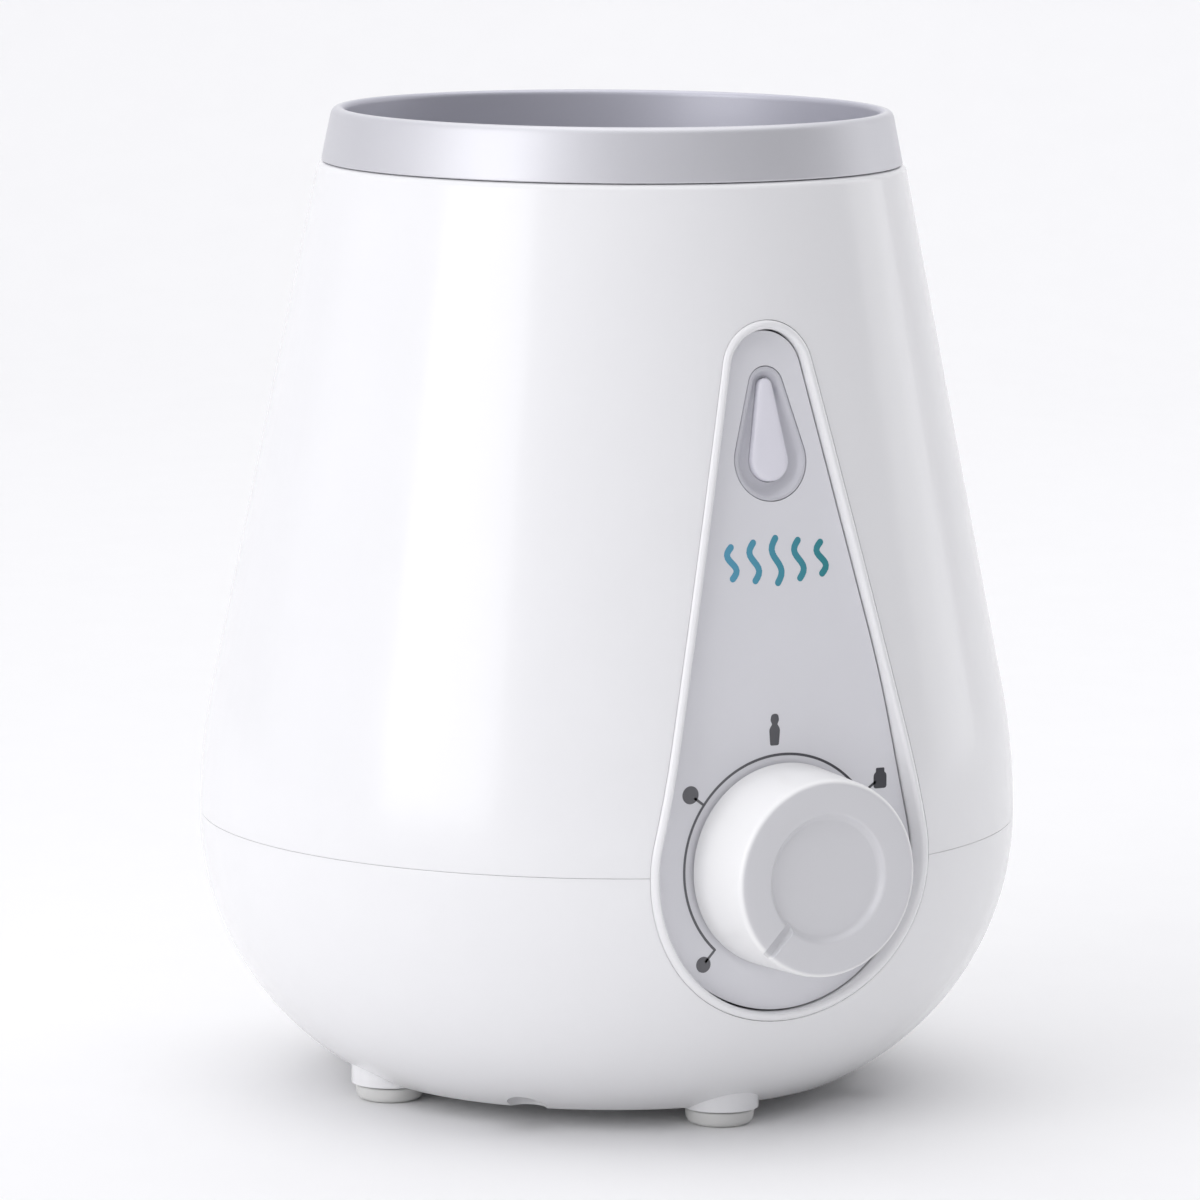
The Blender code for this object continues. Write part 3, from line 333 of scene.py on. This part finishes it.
def combine(obj, other, operation="DIFFERENCE"):
    """Joins or cuts at once, and removes the tool."""
    boolean = obj.modifiers.new(operation, "BOOLEAN")
    boolean.operation = operation
    boolean.solver = "MANIFOLD"
    boolean.object = other
    graph = bpy.context.evaluated_depsgraph_get()
    mesh = bpy.data.meshes.new_from_object(obj.evaluated_get(graph))
    obj.modifiers.clear()
    obj.data = mesh
    bpy.data.objects.remove(other)


def quarters(radius, first=0.0):
    """Four turns round the body's axis, each with its place on a circle."""
    for i in range(4):
        turn = first + i * pi / 2
        yield turn, Matrix.Translation((radius * cos(turn), AXIS_Y + radius * sin(turn), 0))


def seat(z):
    """A place on the panel's leaning part at a height, with local Z out of the panel."""
    lean = Matrix.Rotation(pi / 2 - PANEL_LEAN, 4, "X")
    return Matrix.Translation((0, AXIS_Y - panel_distance(z), z)) @ lean


# Materials


def grow(tree, kind, values=None, wires=None, **settings):
    """A new node with its inputs' values, what its inputs are wired to, and its settings."""
    node = tree.nodes.new("ShaderNode" + kind)
    for name, value in settings.items():
        setattr(node, name, value)
    for name, value in (values or {}).items():
        node.inputs[name].default_value = value
    for name, socket in (wires or {}).items():
        tree.links.new(socket, node.inputs[name])
    return node


def ramp(tree, share, first, second):
    """The colour between two colours at a share."""
    made = grow(tree, "ValToRGB", wires={"Fac": share})
    for element, colour in zip(made.color_ramp.elements, (first, second)):
        element.color = (*colour, 1)
    return made


def parts_of(material):
    """A material's tree, its shader and its object coordinates."""
    tree = material.node_tree
    place = next(node for node in tree.nodes if node.type == "TEX_COORD")
    return tree, tree.nodes["Principled BSDF"], place.outputs["Object"]


def finish(name, colour, rough, metallic=0.0, spread=0.02, grain=900.0, bump=0.02,
           stretch=(1, 1, 1), coat=0.0):
    """A procedural finish: fine grain as bump and roughness, and a slow drift of the colour."""
    made = bpy.data.materials.new(name)
    made.use_nodes = True
    tree = made.node_tree
    shader = tree.nodes["Principled BSDF"]
    shader.inputs["Metallic"].default_value = metallic
    shader.inputs["Coat Weight"].default_value = coat
    shader.inputs["Coat Roughness"].default_value = 0.08
    place = grow(tree, "TexCoord").outputs["Object"]
    scaled = grow(tree, "Mapping", {"Scale": stretch}, {"Vector": place}).outputs["Vector"]
    fine = grow(tree, "TexNoise", {"Scale": grain, "Detail": 3}, {"Vector": scaled})
    slow = grow(tree, "TexNoise", {"Scale": 60, "Detail": 4}, {"Vector": place})
    darker = [part * (1 - spread) for part in colour]
    lighter = [min(1, part * (1 + spread)) for part in colour]
    tint = ramp(tree, slow.outputs["Fac"], darker, lighter)
    tint.color_ramp.elements[0].position = 0.3
    tint.color_ramp.elements[1].position = 0.7
    gloss = grow(tree, "MapRange", {"To Min": rough * 0.85, "To Max": rough * 1.15},
                 {"Value": fine.outputs["Fac"]})
    relief = grow(tree, "Bump", {"Strength": bump, "Distance": 0.02 * MM},
                  {"Height": fine.outputs["Fac"]})
    tree.links.new(tint.outputs["Color"], shader.inputs["Base Color"])
    tree.links.new(gloss.outputs["Result"], shader.inputs["Roughness"])
    tree.links.new(relief.outputs["Normal"], shader.inputs["Normal"])
    return made


def white_plastic():
    """Glossy white plastic with a little light under its skin."""
    made = finish("white_gloss_plastic", (0.84, 0.84, 0.85), 0.22, spread=0.006, grain=2200,
                  bump=0.05, coat=0.25)
    shader = parts_of(made)[1]
    shader.inputs["Subsurface Weight"].default_value = 0.08
    shader.inputs["Subsurface Radius"].default_value = (1.0, 1.0, 1.0)
    shader.inputs["Subsurface Scale"].default_value = 2 * MM
    return made


def spun_metal(name, colour, rough, rings):
    """Metal with fine rings left by turning, round the body's axis."""
    made = finish(name, colour, rough, metallic=1.0, spread=0.03, grain=1400, bump=0.04)
    tree, shader, place = parts_of(made)
    centred = grow(tree, "Mapping", {"Location": (0, -AXIS_Y, 0)}, {"Vector": place})
    apart = grow(tree, "SeparateXYZ", wires={"Vector": centred.outputs["Vector"]}).outputs
    flat = grow(tree, "CombineXYZ", wires={"X": apart["X"], "Y": apart["Y"]})
    reach = grow(tree, "VectorMath", wires={0: flat.outputs["Vector"]}, operation="LENGTH")
    lines = grow(tree, "CombineXYZ", wires={"X": reach.outputs["Value"], "Y": apart["Z"]})
    wave = grow(tree, "TexNoise", {"Scale": rings, "Detail": 4},
                {"Vector": lines.outputs["Vector"]})
    relief = grow(tree, "Bump", {"Strength": 0.35, "Distance": 0.03 * MM},
                  {"Height": wave.outputs["Fac"]})
    tree.links.new(relief.outputs["Normal"], shader.inputs["Normal"])
    return made


def painted_shade_near_axis(made, centre, squash, colour, edge_out, edge_in):
    """Paints shade: what lies nearer than an edge to an axis gets a second, darker colour as
    painted shade.

    The axis passes through the centre, along the direction that is squashed to 0."""
    tree, shader, place = parts_of(made)
    shift = [-part * size for part, size in zip(centre, squash)]
    centred = grow(tree, "Mapping", {"Location": shift, "Scale": squash}, {"Vector": place})
    reach = grow(tree, "VectorMath", wires={0: centred.outputs["Vector"]}, operation="LENGTH")
    edge = grow(tree, "MapRange", {"From Min": edge_out, "From Max": edge_in},
                {"Value": reach.outputs["Value"]})
    # painted shade: the darker colour is mixed in near the axis
    first = shader.inputs["Base Color"].links[0].from_socket
    paint = grow(tree, "MixRGB", {"Color2": (*colour, 1)},
                 {"Fac": edge.outputs["Result"], "Color1": first})
    tree.links.new(paint.outputs["Color"], shader.inputs["Base Color"])
    return made


def knob_plastic_with_shaded_face():
    """White plastic, with painted shade on its face: the face is painted grey for the shade it lies
    in.
    """
    made = finish("knob_satin_white", (0.87, 0.87, 0.87), 0.3, spread=0.006, grain=2600, bump=0.1)
    # painted shade: within 14.5 to 14.9 mm of the knob's axis the face is painted grey
    return painted_shade_near_axis(made, (0, 0, KNOB_Z), (1, 0, 1), (0.67, 0.67, 0.69), edge_out=14.9 * MM,
                    edge_in=14.5 * MM)


def silver_lacquer():
    """Silver lacquer outside, and painted shade inside the mouth: the ring's inner side is painted
    a darker bluish grey.
    """
    made = finish("silver_lacquer", (0.67, 0.67, 0.70), 0.52, metallic=0.7, grain=5200,
                  bump=0.08, coat=0.15)
    # painted shade: nearer than 43 mm to the axis the ring is painted darker, for the shade inside
    # the mouth
    return painted_shade_near_axis(made, (0, AXIS_Y, 0), (1, 1, 0), (0.56, 0.56, 0.62), edge_out=43.2 * MM,
                    edge_in=42.8 * MM)


def frosted(name, colour, rough, transmission):
    """A milky plastic or rubber that lets some light in."""
    made = finish(name, colour, rough, grain=2400, bump=0.03)
    shader = parts_of(made)[1]
    shader.inputs["Transmission Weight"].default_value = transmission
    shader.inputs["IOR"].default_value = 1.45
    return made


def printed(name, colour, second):
    """Pad-printed ink, which drifts from one colour to the other across the mark."""
    made = finish(name, colour, 0.45, spread=0.05, grain=2500, bump=0.15)
    tree, shader, place = parts_of(made)
    apart = grow(tree, "SeparateXYZ", wires={"Vector": place})
    across = grow(tree, "MapRange", {"From Min": -10 * MM, "From Max": 10 * MM},
                  {"Value": apart.outputs["X"]})
    drift = ramp(tree, across.outputs["Result"], colour, second)
    tree.links.new(drift.outputs["Color"], shader.inputs["Base Color"])
    return made


WHITE = white_plastic()
KNOB_WHITE = knob_plastic_with_shaded_face()
SILVER = silver_lacquer()
GREY = finish("panel_satin_grey", (0.74, 0.74, 0.77), 0.36, spread=0.012, grain=3200, bump=0.14)
# The bezel grey is partly its own colour and partly painted shade: it is darkened for the shade in
# the dish round the lens.
BEZEL_GREY = finish("bezel_satin_grey", (0.56, 0.56, 0.6), 0.32, grain=2800, bump=0.1)
LENS = frosted("frosted_lens", (0.9, 0.89, 0.96), 0.22, 0.15)
RUBBER = frosted("clear_white_rubber", (0.85, 0.85, 0.83), 0.5, 0.2)
TANK_METAL = spun_metal("spun_aluminium", (0.5, 0.51, 0.55), 0.32, 2600)
INK = printed("grey_ink", (0.13, 0.13, 0.14), (0.05, 0.05, 0.06))
TEAL = printed("teal_ink", (0.10, 0.34, 0.50), (0.02, 0.22, 0.24))

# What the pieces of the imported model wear, by their slot
BY_SLOT = {
    "white_abs": WHITE,
    "foot_rubber": RUBBER,
    "silicone": finish("silicone_matte", (0.62, 0.62, 0.6), 0.6, spread=0.03, bump=0.2),
    "aluminium": spun_metal("cast_aluminium", (0.6, 0.6, 0.62), 0.42, 1500),
    "steel": finish("zinc_steel", (0.6, 0.6, 0.58), 0.34, metallic=1.0, spread=0.08,
                    grain=700, bump=0.2, stretch=(1, 8, 1)),
    "brass": finish("rolled_brass", (0.72, 0.54, 0.27), 0.32, metallic=1.0, spread=0.07,
                    grain=800, bump=0.2, stretch=(1, 1, 8)),
    "copper": finish("drawn_copper", (0.76, 0.42, 0.28), 0.34, metallic=1.0, spread=0.09,
                     grain=800, bump=0.2),
    "bakelite": finish("brown_moulding", (0.10, 0.075, 0.06), 0.42, spread=0.15, grain=1400,
                       bump=0.3),
    "ceramic": finish("raw_ceramic", (0.80, 0.78, 0.72), 0.55, spread=0.05, grain=1200, bump=0.4),
    "circuit_board": finish("green_board", (0.05, 0.20, 0.09), 0.38, spread=0.15, grain=1100,
                            bump=0.3),
    "amber_led": frosted("amber_resin", (0.85, 0.40, 0.08), 0.15, 0.4),
}
for hue, paint in {"brown": (0.20, 0.09, 0.05), "blue": (0.06, 0.18, 0.50),
                   "red": (0.50, 0.05, 0.04), "green": (0.20, 0.38, 0.07)}.items():
    BY_SLOT[hue + "_wire"] = finish(hue + "_insulation", paint, 0.42, spread=0.08, grain=1000,
                                    bump=0.2)


def piece(obj, material, slot, body, *replaced):
    """Gives a piece its material, and sets it on its body in place of CAD nodes; the slot is not
    used.
    """
    obj.data.materials.clear()
    obj.data.materials.append(material)
    if replaced:
        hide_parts(*replaced)
    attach(obj, body)


# Housing


def opening():
    """A cutter for the teardrop in the front wall."""
    return prism("opening_tool", teardrop(TEAR), *THROUGH_SIDE)


def upper_shell():
    """The cone, with a rounded neck, the teardrop opening and four posts on webs."""
    seam = SEAM_Z + SEAM_LINE / 2
    joint = SEAM_Z + TONGUE + GAP
    lip = housing_radius(seam) - WALL / 2 + GAP / 2
    neck = housing_radius(NECK_Z - SHOULDER)
    outline = arc(neck - SHOULDER, NECK_Z - SHOULDER, SHOULDER, pi / 2, 0, 8)
    side = cone_side(seam + 0.25 * MM, NECK_Z - 1.5 * SHOULDER)[::-1]
    corners = [(*side[-1], 0), (housing_radius(seam), seam, SEAM_ROUND), (lip, seam, 0)]
    outline += side + softened(corners, 3)[1:]
    outline += [(lip, joint)] + cone_side(joint, NECK_Z, WALL)
    shell = turned("upper_shell", outline)
    combine(shell, opening())
    low = (POST_CIRCLE, -WALL / 2, SEAM_Z + TONGUE + WALL)
    high = (housing_radius(POST_TOP) - WALL / 2, WALL / 2, POST_TOP)
    for turn, place in quarters(POST_CIRCLE, pi / 4):
        web = box("web", low, high, UPRIGHT @ Matrix.Rotation(turn, 4, "Z"))
        post = rod("post", POST_RADIUS, POST_BOTTOM, POST_TOP + 0.4 * MM, place)
        combine(shell, web, "UNION")
        combine(shell, post, "UNION")
        combine(shell, rod("pilot", SCREW_HOLE, 0, POST_BOTTOM + PILOT_DEPTH, place))
    settled(shell, sharp=20)
    piece(shell, WHITE, "white_abs", "housing", "upper_housing")


def lower_shell():
    """The bowl, with a tongue at its seam, sockets for the posts and bosses for the feet."""
    seam = SEAM_Z - SEAM_LINE / 2
    lip = housing_radius(seam) - WALL / 2 - GAP / 2
    tongue = housing_radius(SEAM_Z + TONGUE, WALL) + GAP / 4
    floor = FLOOR_Z + WALL
    outline = [(0, floor), *bowl_side(floor, WALL)[::-1], (tongue, SEAM_Z + TONGUE)]
    outline += [(lip, SEAM_Z + TONGUE), (lip, seam)]
    side = [point for point in bowl_side(FLOOR_Z) if point[1] < seam - 0.2 * MM]
    corners = [(lip, seam, 0), (housing_radius(seam), seam, SEAM_ROUND), (*side[0], 0)]
    outline += softened(corners, 3)[1:-1] + side + [(0, FLOOR_Z)]
    bowl = turned("lower_shell", outline, closed=False)
    skin = 0.4 * MM
    well_top = POST_BOTTOM - GAP - WALL
    above = SOCKET_TOP + 1 * MM
    for _, place in quarters(POST_CIRCLE, pi / 4):
        fill = [(0, SEAM_Z), *bowl_side(FLOOR_Z + skin, skin), (0, FLOOR_Z + skin)]
        socket = rod("socket", SOCKET_RADIUS, 0, SOCKET_TOP, place)
        combine(socket, turned("inside", fill, closed=False), "INTERSECT")
        combine(bowl, socket, "UNION")
        combine(bowl, rod("bore", POST_RADIUS + GAP, POST_BOTTOM - GAP, above, place))
        combine(bowl, rod("hole", SCREW_HOLE, 0, above, place))
        combine(bowl, rod("well", SCREW_WELL, 0, well_top, place))
    for _, place in quarters(FOOT_CIRCLE):
        boss = rod("boss", FOOT_BOSS_RADIUS, FLOOR_Z - GAP, FOOT_BOSS_TOP, place)
        combine(bowl, boss, "UNION")
        combine(bowl, rod("foot_hole", FOOT_HOLE, 0, FOOT_BOSS_TOP + 4 * MM, place))
    combine(bowl, opening())
    combine(bowl, rod("gland_hole", GLAND_HOLE, *THROUGH_SIDE, GLAND_AXIS))
    settled(bowl, sharp=20)
    piece(bowl, WHITE, "white_abs", "housing", "lower_housing")


def ring():
    """The ring, with a skirt inside the neck and a ledge that carries the tank."""
    low = NECK_Z + 0.12 * MM
    skirt = housing_radius(NECK_Z, WALL) - GAP
    inner = skirt - 1.6 * MM
    bottom = RING_LOW[2]
    ledge = inner - 4 * MM
    ledge_top = bottom + 1.4 * MM
    outline = softened([
        (44.3 * MM, RING_TOP, 1.2 * MM),
        (RING_HIGH[0], low, 0.3 * MM),
        (skirt, low, 0.1 * MM),
        (skirt, bottom, 0.2 * MM),
        (ledge, bottom, 0.3 * MM),
        (ledge, ledge_top, 0.3 * MM),
        (inner, ledge_top, 0.6 * MM),
        (42.3 * MM, RING_TOP, 0.9 * MM),
    ], 6)
    piece(turned("mouth_ring", outline), SILVER, "silver_lacquer", "housing", "top_ring")


def tank():
    """The aluminium tank, with a rolled mouth and a flat rim."""
    edge, _, top = TANK_HIGH
    bottom = TANK_LOW[2]
    wall = 1.2 * MM
    floor = bottom + wall
    corner = 4 * MM
    under = top - 1.4 * MM
    middle = (TANK_RADIUS - corner, floor + corner)
    inner = arc(*middle, corner, -pi / 2, 0, 10)
    outline = [(edge - 0.3 * MM, top), (edge, top - 0.3 * MM), (edge, under + 0.2 * MM)]
    outline += [(edge - 0.2 * MM, under), (TANK_MOUTH - 0.3 * MM, under)]
    outline += [(TANK_MOUTH - 0.5 * MM, under - 1 * MM)]
    outline += [*arc(*middle, corner + wall, 0, -pi / 2, 10), (0, bottom), (0, floor), *inner]
    mouth = [(*inner[-1], 0), (TANK_MOUTH - 1.6 * MM, top, 1.8 * MM), (edge, top, 0)]
    outline += softened(mouth, 8)[1:-1]
    made = turned("water_tank_shell", outline)
    piece(made, TANK_METAL, "aluminium", "housing", "water_tank")


def feet():
    """Rubber feet with a barbed stem that goes up into the floor."""
    under = FLOOR_Z - 2 * GAP
    radius = (FOOT_HIGH[0] - FOOT_LOW[0]) / 2
    high = FOOT_HIGH[2]
    stem, barb = 1.7 * MM, 2.2 * MM
    outline = softened([
        (0, high, 0),
        (1.1 * MM, high, 0.2 * MM),
        (barb, high - 1.5 * MM, 0.2 * MM),
        (stem, high - 1.6 * MM, 0.1 * MM),
        (stem, under, 0),
        (radius, under, 0.4 * MM),
        (radius - 0.4 * MM, 0, 1.2 * MM),
        (0, 0, 0),
    ], 5)
    for name, (_, place) in zip(("right", "back", "left", "front"), quarters(FOOT_CIRCLE)):
        made = turned("rubber_foot_" + name, outline, place, steps=64, closed=False)
        piece(made, RUBBER, "foot_rubber", "housing", "foot_" + name)


def grommet():
    low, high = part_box("cord_grommet")
    near, far = low[1] - AXIS_Y, high[1] - AXIS_Y
    bore, tube = 3.4 * MM, 5 * MM
    corners = [(bore, far, 0.5 * MM), (tube, far, 0.7 * MM)]
    corners += [(tube, near, 0.4 * MM), (bore, near, 0.4 * MM)]
    made = turned("cord_gland", softened(corners, 5), GLAND_AXIS, steps=96)
    piece(made, RUBBER, "foot_rubber", "housing", "cord_grommet")


# Panel


def over_body(outline, lift):
    """Points of a flat outline laid on the housing's surface, lifted by a height."""
    return [(x, AXIS_Y - sqrt(housing_radius(z) ** 2 - x * x) - lift, z) for x, z in outline]


def over_panel(outline, lift):
    """The same on the panel's face."""
    return [(x, AXIS_Y - panel_distance(z) - lift, z) for x, z in outline]


def bead():
    """The raised rim of the teardrop, with a round crest and a wall down to the panel."""
    crest = [(0.3, -2.4), (0.06, -0.3), (0.1, 0.02), (0.28, 0.18), (0.5, 0.32), (0.72, 0.38)]
    crest += [(0.92, 0.36), (1.12, 0.26), (1.3, 0.08), (1.42, -0.16), (1.5, -0.5)]
    foot = [(1.5, -1.2), (0.9, -1.4)]
    loops = []
    for profile, surface in ((crest, over_body), (foot, over_panel)):
        for inset, lift in profile:
            outline = teardrop(TEAR, inset * MM, fine=2, along=40)
            loops.append(surface(outline, lift * MM))
    made = loft("panel_bead", loops, ring=True)
    piece(made, WHITE, "white_abs", "housing", "panel_frame")


def panel():
    """The panel, bent between the knob and the lamp, with a hole for each."""
    reach = TEAR[0] * 1.2
    outline = teardrop(TEAR, 2 * GAP + FRAME_WIDTH, fine=2)
    window = teardrop(LAMP_TEAR, -GAP / 3, along=2)
    plate = prism("panel_plate", outline, *THROUGH_SIDE)
    sheet = prism("sheet", panel_layer(0, PANEL_THICKNESS), -reach, reach, SIDEWAYS)
    combine(plate, sheet, "INTERSECT")
    combine(plate, rod("hole", NUT_HOLE, *THROUGH_SIDE, KNOB_AXIS))
    combine(plate, prism("window", window, -20 * MM, 20 * MM, seat(LAMP_Z)))
    settled(plate, sharp=25)
    piece(plate, GREY, "panel_grey", "housing", "control_panel")


def tear_loops(rows):
    """Level teardrop loops from rows of a teardrop, an inset in mm and a height in mm."""
    return [
        [(x, y, height * MM) for x, y in teardrop(tear, inset * MM)] for tear, inset, height in rows
    ]


def lamp():
    """A bezel with a dished border round a domed lens."""
    back = -PANEL_THICKNESS / MM
    border = [(0, back), (0, -0.1), (0.08, 0.06), (0.35, 0.14), (0.6, 0.05), (0.95, -0.45)]
    border += [(1.4, -0.85)]
    well = [(-0.5, -1.0), (-0.12, -0.9), (-0.1, back)]
    rows = [(LAMP_TEAR, *row) for row in border] + [(LENS_TEAR, *row) for row in well]
    bezel = loft("lamp_dish", tear_loops(rows), seat(LAMP_Z), ring=True)
    piece(bezel, BEZEL_GREY, "bezel_grey", "housing", "lamp_bezel")
    dome = [(0, back), (0, -0.35), (0.1, 0), (0.35, 0.18), (0.7, 0.27), (1.1, 0.3)]
    loops = tear_loops([(LENS_TEAR, *row) for row in dome])
    lens = loft("lamp_window", loops, seat(LAMP_Z), cap_start=True, cap_end=True)
    piece(lens, LENS, "frosted_lens", "housing", "lamp_lens")


# Knob


def knob():
    """A cup-shaped knob with a hub inside, a dish in its face and a groove as its pointer."""
    face = 15.2 * MM
    bore = 3.3 * MM
    hub = 5.6 * MM
    wall = 2 * MM
    dish = KNOB_TOP - DISH_DEPTH
    ceiling = dish - wall
    base = KNOB_BASE
    hub_end = base + 1 * MM
    bore_end = ceiling - 0.4 * MM
    outline = softened([
        (0, dish, 0),
        (DISH_RADIUS - 0.7 * MM, dish, 0.5 * MM),
        (DISH_RADIUS, KNOB_TOP, 0.35 * MM),
        (face, KNOB_TOP, 1.1 * MM),
        (KNOB_RADIUS, base, 0.3 * MM),
        (KNOB_RADIUS - wall, base, 0.2 * MM),
        (face - wall, ceiling, 0.5 * MM),
        (hub, ceiling, 0.4 * MM),
        (hub, hub_end, 0.2 * MM),
        (bore, hub_end, 0.2 * MM),
        (bore, bore_end, 0),
        (0, bore_end, 0),
    ], 6)
    made = turned("knob_body", outline, KNOB_AXIS, closed=False)
    half = 1 * MM
    depth = KNOB_TOP - 0.85 * MM
    above = KNOB_TOP + 3 * MM
    section = [(-half, depth + half, 0), (-half * 0.6, depth, 0.3 * MM)]
    section += [(half * 0.6, depth, 0.3 * MM), (half, depth + half, 0)]
    section += [(half, above, 0), (-half, above, 0)]
    along = Matrix.Rotation(-POINTER_AT_OFF, 4, "Z") @ Matrix.Rotation(pi / 2, 4, "X")
    start, end = -KNOB_RADIUS * 1.1, -DISH_RADIUS + 0.9 * MM
    combine(made, prism("groove", softened(section), start, end, KNOB_AXIS @ along))
    settled(made, sharp=35)
    piece(made, KNOB_WHITE, "white_abs", "knob", "control_knob")


# Printed marks


def ink(name, outline, matrix, material):
    """A thin printed mark, just clear of the panel's face."""
    low, high = 0.005 * MM, 0.03 * MM
    piece(prism(name, outline, low, high, matrix), material, "panel_grey", "housing")


def dial_place(turn, radius, upright=True):
    """A place on the panel at a clock angle round the knob."""
    x, y = radius * sin(turn), radius * cos(turn)
    spin = Matrix.Identity(4) if upright else Matrix.Rotation(-turn, 4, "Z")
    return KNOB_AXIS @ Matrix.Translation((x, y, PANEL_DISTANCE)) @ spin


def disc(radius):
    return arc(0, 0, radius, 0, 2 * pi * 23 / 24, 23)


def symbol(half):
    """A rounded symbol from its right half, which runs upwards in (x, y, radius) in mm."""
    right = [(x * MM, y * MM, radius * MM) for x, y, radius in half]
    left = [(-x, y, radius) for x, y, radius in right[::-1]]
    return softened(left[-1:] + right + left[:-1])


def stroke(points, width):
    """The outline of a round-ended line through points."""
    path = [Vector(point) for point in points]
    left, right = [], []
    for i, here in enumerate(path):
        ahead = path[min(i + 1, len(path) - 1)] - path[max(i - 1, 0)]
        side = Vector((-ahead.y, ahead.x)).normalized() * width / 2
        left.append(tuple(here + side))
        right.append(tuple(here - side))
    caps = []
    for end, inner in ((path[-1], path[-2]), (path[0], path[1])):
        away = end - inner
        turn = atan2(away.y, away.x)
        caps.append(arc(end.x, end.y, width / 2, turn + pi / 2, turn - pi / 2, 6)[1:-1])
    return left + caps[0] + right[::-1] + caps[1]


def marks():
    """The dial's line and ticks, its four marks, and the heat waves above it."""
    off, keep, milk, jar = (POINTER_AT_OFF + radians(turn) for turn in (0, 83.5, 133, 192))
    thin = 0.4 * MM
    dial = 17 * MM
    around = 19.9 * MM
    scale = arc(0, 0, dial, pi / 2 - off, pi / 2 - jar, 90)
    ink("dial_line", stroke(scale, thin), dial_place(0, 0), INK)
    for name, turn, reach in (("off", off, 2), ("keep", keep, 1.6), ("jar", jar, 2.6)):
        tick = stroke([(0, 0), (0, reach * MM)], thin)
        ink("tick_" + name, tick, dial_place(turn, dial + 0.3 * MM, False), INK)
    ink("mark_off", disc(1.25 * MM), dial_place(off, around), INK)
    ink("mark_keep", disc(1.4 * MM), dial_place(keep, around), INK)
    bottle = [(0.75, -2.4, 0.3), (0.95, 0.2, 0.5), (0.4, 0.9, 0.3), (0.75, 1.4, 0.3)]
    bottle += [(0.6, 2.5, 0.6)]
    ink("mark_milk", symbol(bottle), dial_place(milk, around + 1 * MM), INK)
    pot = [(1.15, -1.6, 0.5), (1.15, 0.6, 0.5), (0.75, 0.95, 0.1), (0.75, 1.6, 0.2)]
    ink("mark_jar", symbol(pot), dial_place(jar, around + 1.1 * MM), INK)
    for i in range(5):
        middle = (i - 2) * 3.9 * MM
        tall = (3.4 - 0.5 * abs(i - 2)) * MM
        wave = [(middle + 0.75 * MM * sin(t * pi / 6), tall * (t / 6 - 1)) for t in range(13)]
        ink(f"heat_wave_{i + 1}", stroke(wave, 1.05 * MM), seat(WAVES_Z), TEAL)


# Studio and camera


def studio():
    """A paper sweep behind the part, three soft lights and the room."""
    front, back, width, rise, bend = -2.4, 1.6, 3.0, 1.8, 0.6
    profile = [(front, 0), *arc(back - bend, bend, bend, -pi / 2, 0, 16), (back, rise)]
    points = [(side * width, y, z) for y, z in profile for side in (-1, 1)]
    faces = [(2 * i, 2 * i + 1, 2 * i + 3, 2 * i + 2) for i in range(len(profile) - 1)]
    floor = bpy.data.meshes.new("floor")
    floor.from_pydata(points, [], faces)
    floor.shade_smooth()
    floor.materials.append(finish("paper_white", (0.9, 0.9, 0.9), 0.9, spread=0.004, grain=60,
                                  bump=0.01))
    obj = add("studio_floor", floor, Matrix.Rotation(VIEW_TURN, 4, "Z"))
    softbox("key_softbox", turn=-48, height=14, distance=1.5, size=(0.95, 1.5), power=8.7)
    softbox("fill_softbox", turn=116, height=14, distance=1.6, size=(0.7, 1.3), power=2.6)
    softbox("top_softbox", turn=160, height=84, distance=1.9, size=(2.6, 2.6), power=22)
    surroundings()


def direction(turn, height):
    """A direction from its angles to the camera's direction and the horizon, in degrees."""
    turn = VIEW_TURN + radians(turn)
    height = radians(height)
    return Vector((sin(turn) * cos(height), -cos(turn) * cos(height), sin(height)))


def surroundings():
    """A pale room, brighter on the key light's side."""
    world = bpy.data.worlds.new("studio")
    world.use_nodes = True
    tree = world.node_tree
    backdrop = tree.nodes["Background"]
    backdrop.inputs["Color"].default_value = (0.955, 0.95, 1.0, 1)
    place = grow(tree, "TexCoord").outputs["Generated"]
    side = grow(tree, "VectorMath", {1: direction(-80, 15)}, {0: place}, operation="DOT_PRODUCT")
    glow = grow(tree, "MapRange", {"From Min": -1, "To Min": 0.25, "To Max": 0.84},
                {"Value": side.outputs["Value"]})
    tree.links.new(glow.outputs["Result"], backdrop.inputs["Strength"])
    bpy.context.scene.world = world


def softbox(name, turn, height, distance, size, power):
    """A rectangular light aimed at the middle of the part."""
    light = bpy.data.lights.new(name, "AREA")
    light.shape = "RECTANGLE"
    light.size, light.size_y = size
    light.energy = power
    obj = bpy.data.objects.new(name, light)
    away = direction(turn, height)
    obj.location = Vector((0, AXIS_Y, 80 * MM)) + away * distance
    obj.rotation_euler = away.to_track_quat("Z", "Y").to_euler()
    bpy.context.scene.collection.objects.link(obj)


def camera():
    """A long lens, from the left of the panel and a little above the mouth."""
    away, height = 1.1, 0.232
    pitch, roll = radians(8.0), radians(0.45)
    lens = bpy.data.cameras.new("camera")
    lens.sensor_width = 36
    lens.lens = 208.8
    lens.clip_end = 20
    obj = bpy.data.objects.new("camera", lens)
    obj.location = (sin(VIEW_TURN) * away, AXIS_Y - cos(VIEW_TURN) * away, height)
    turn = Matrix.Rotation(VIEW_TURN + VIEW_AIM, 4, "Z") @ Matrix.Rotation(pi / 2 - pitch, 4, "X")
    obj.rotation_euler = (turn @ Matrix.Rotation(roll, 4, "Z")).to_euler()
    bpy.context.scene.collection.objects.link(obj)
    bpy.context.scene.camera = obj


slots = {part["node"]: part["material_slot"] for part in frame["record"]["subparts"]}
for node, obj in frame["nodes"].items():
    if slots[node] in BY_SLOT:
        obj.data.materials.clear()
        obj.data.materials.append(BY_SLOT[slots[node]])

for build in (upper_shell, lower_shell, ring, tank, feet, grommet, bead, panel, lamp, knob, marks,
              studio, camera):
    build()
bpy.context.scene.view_settings.view_transform = "Standard"
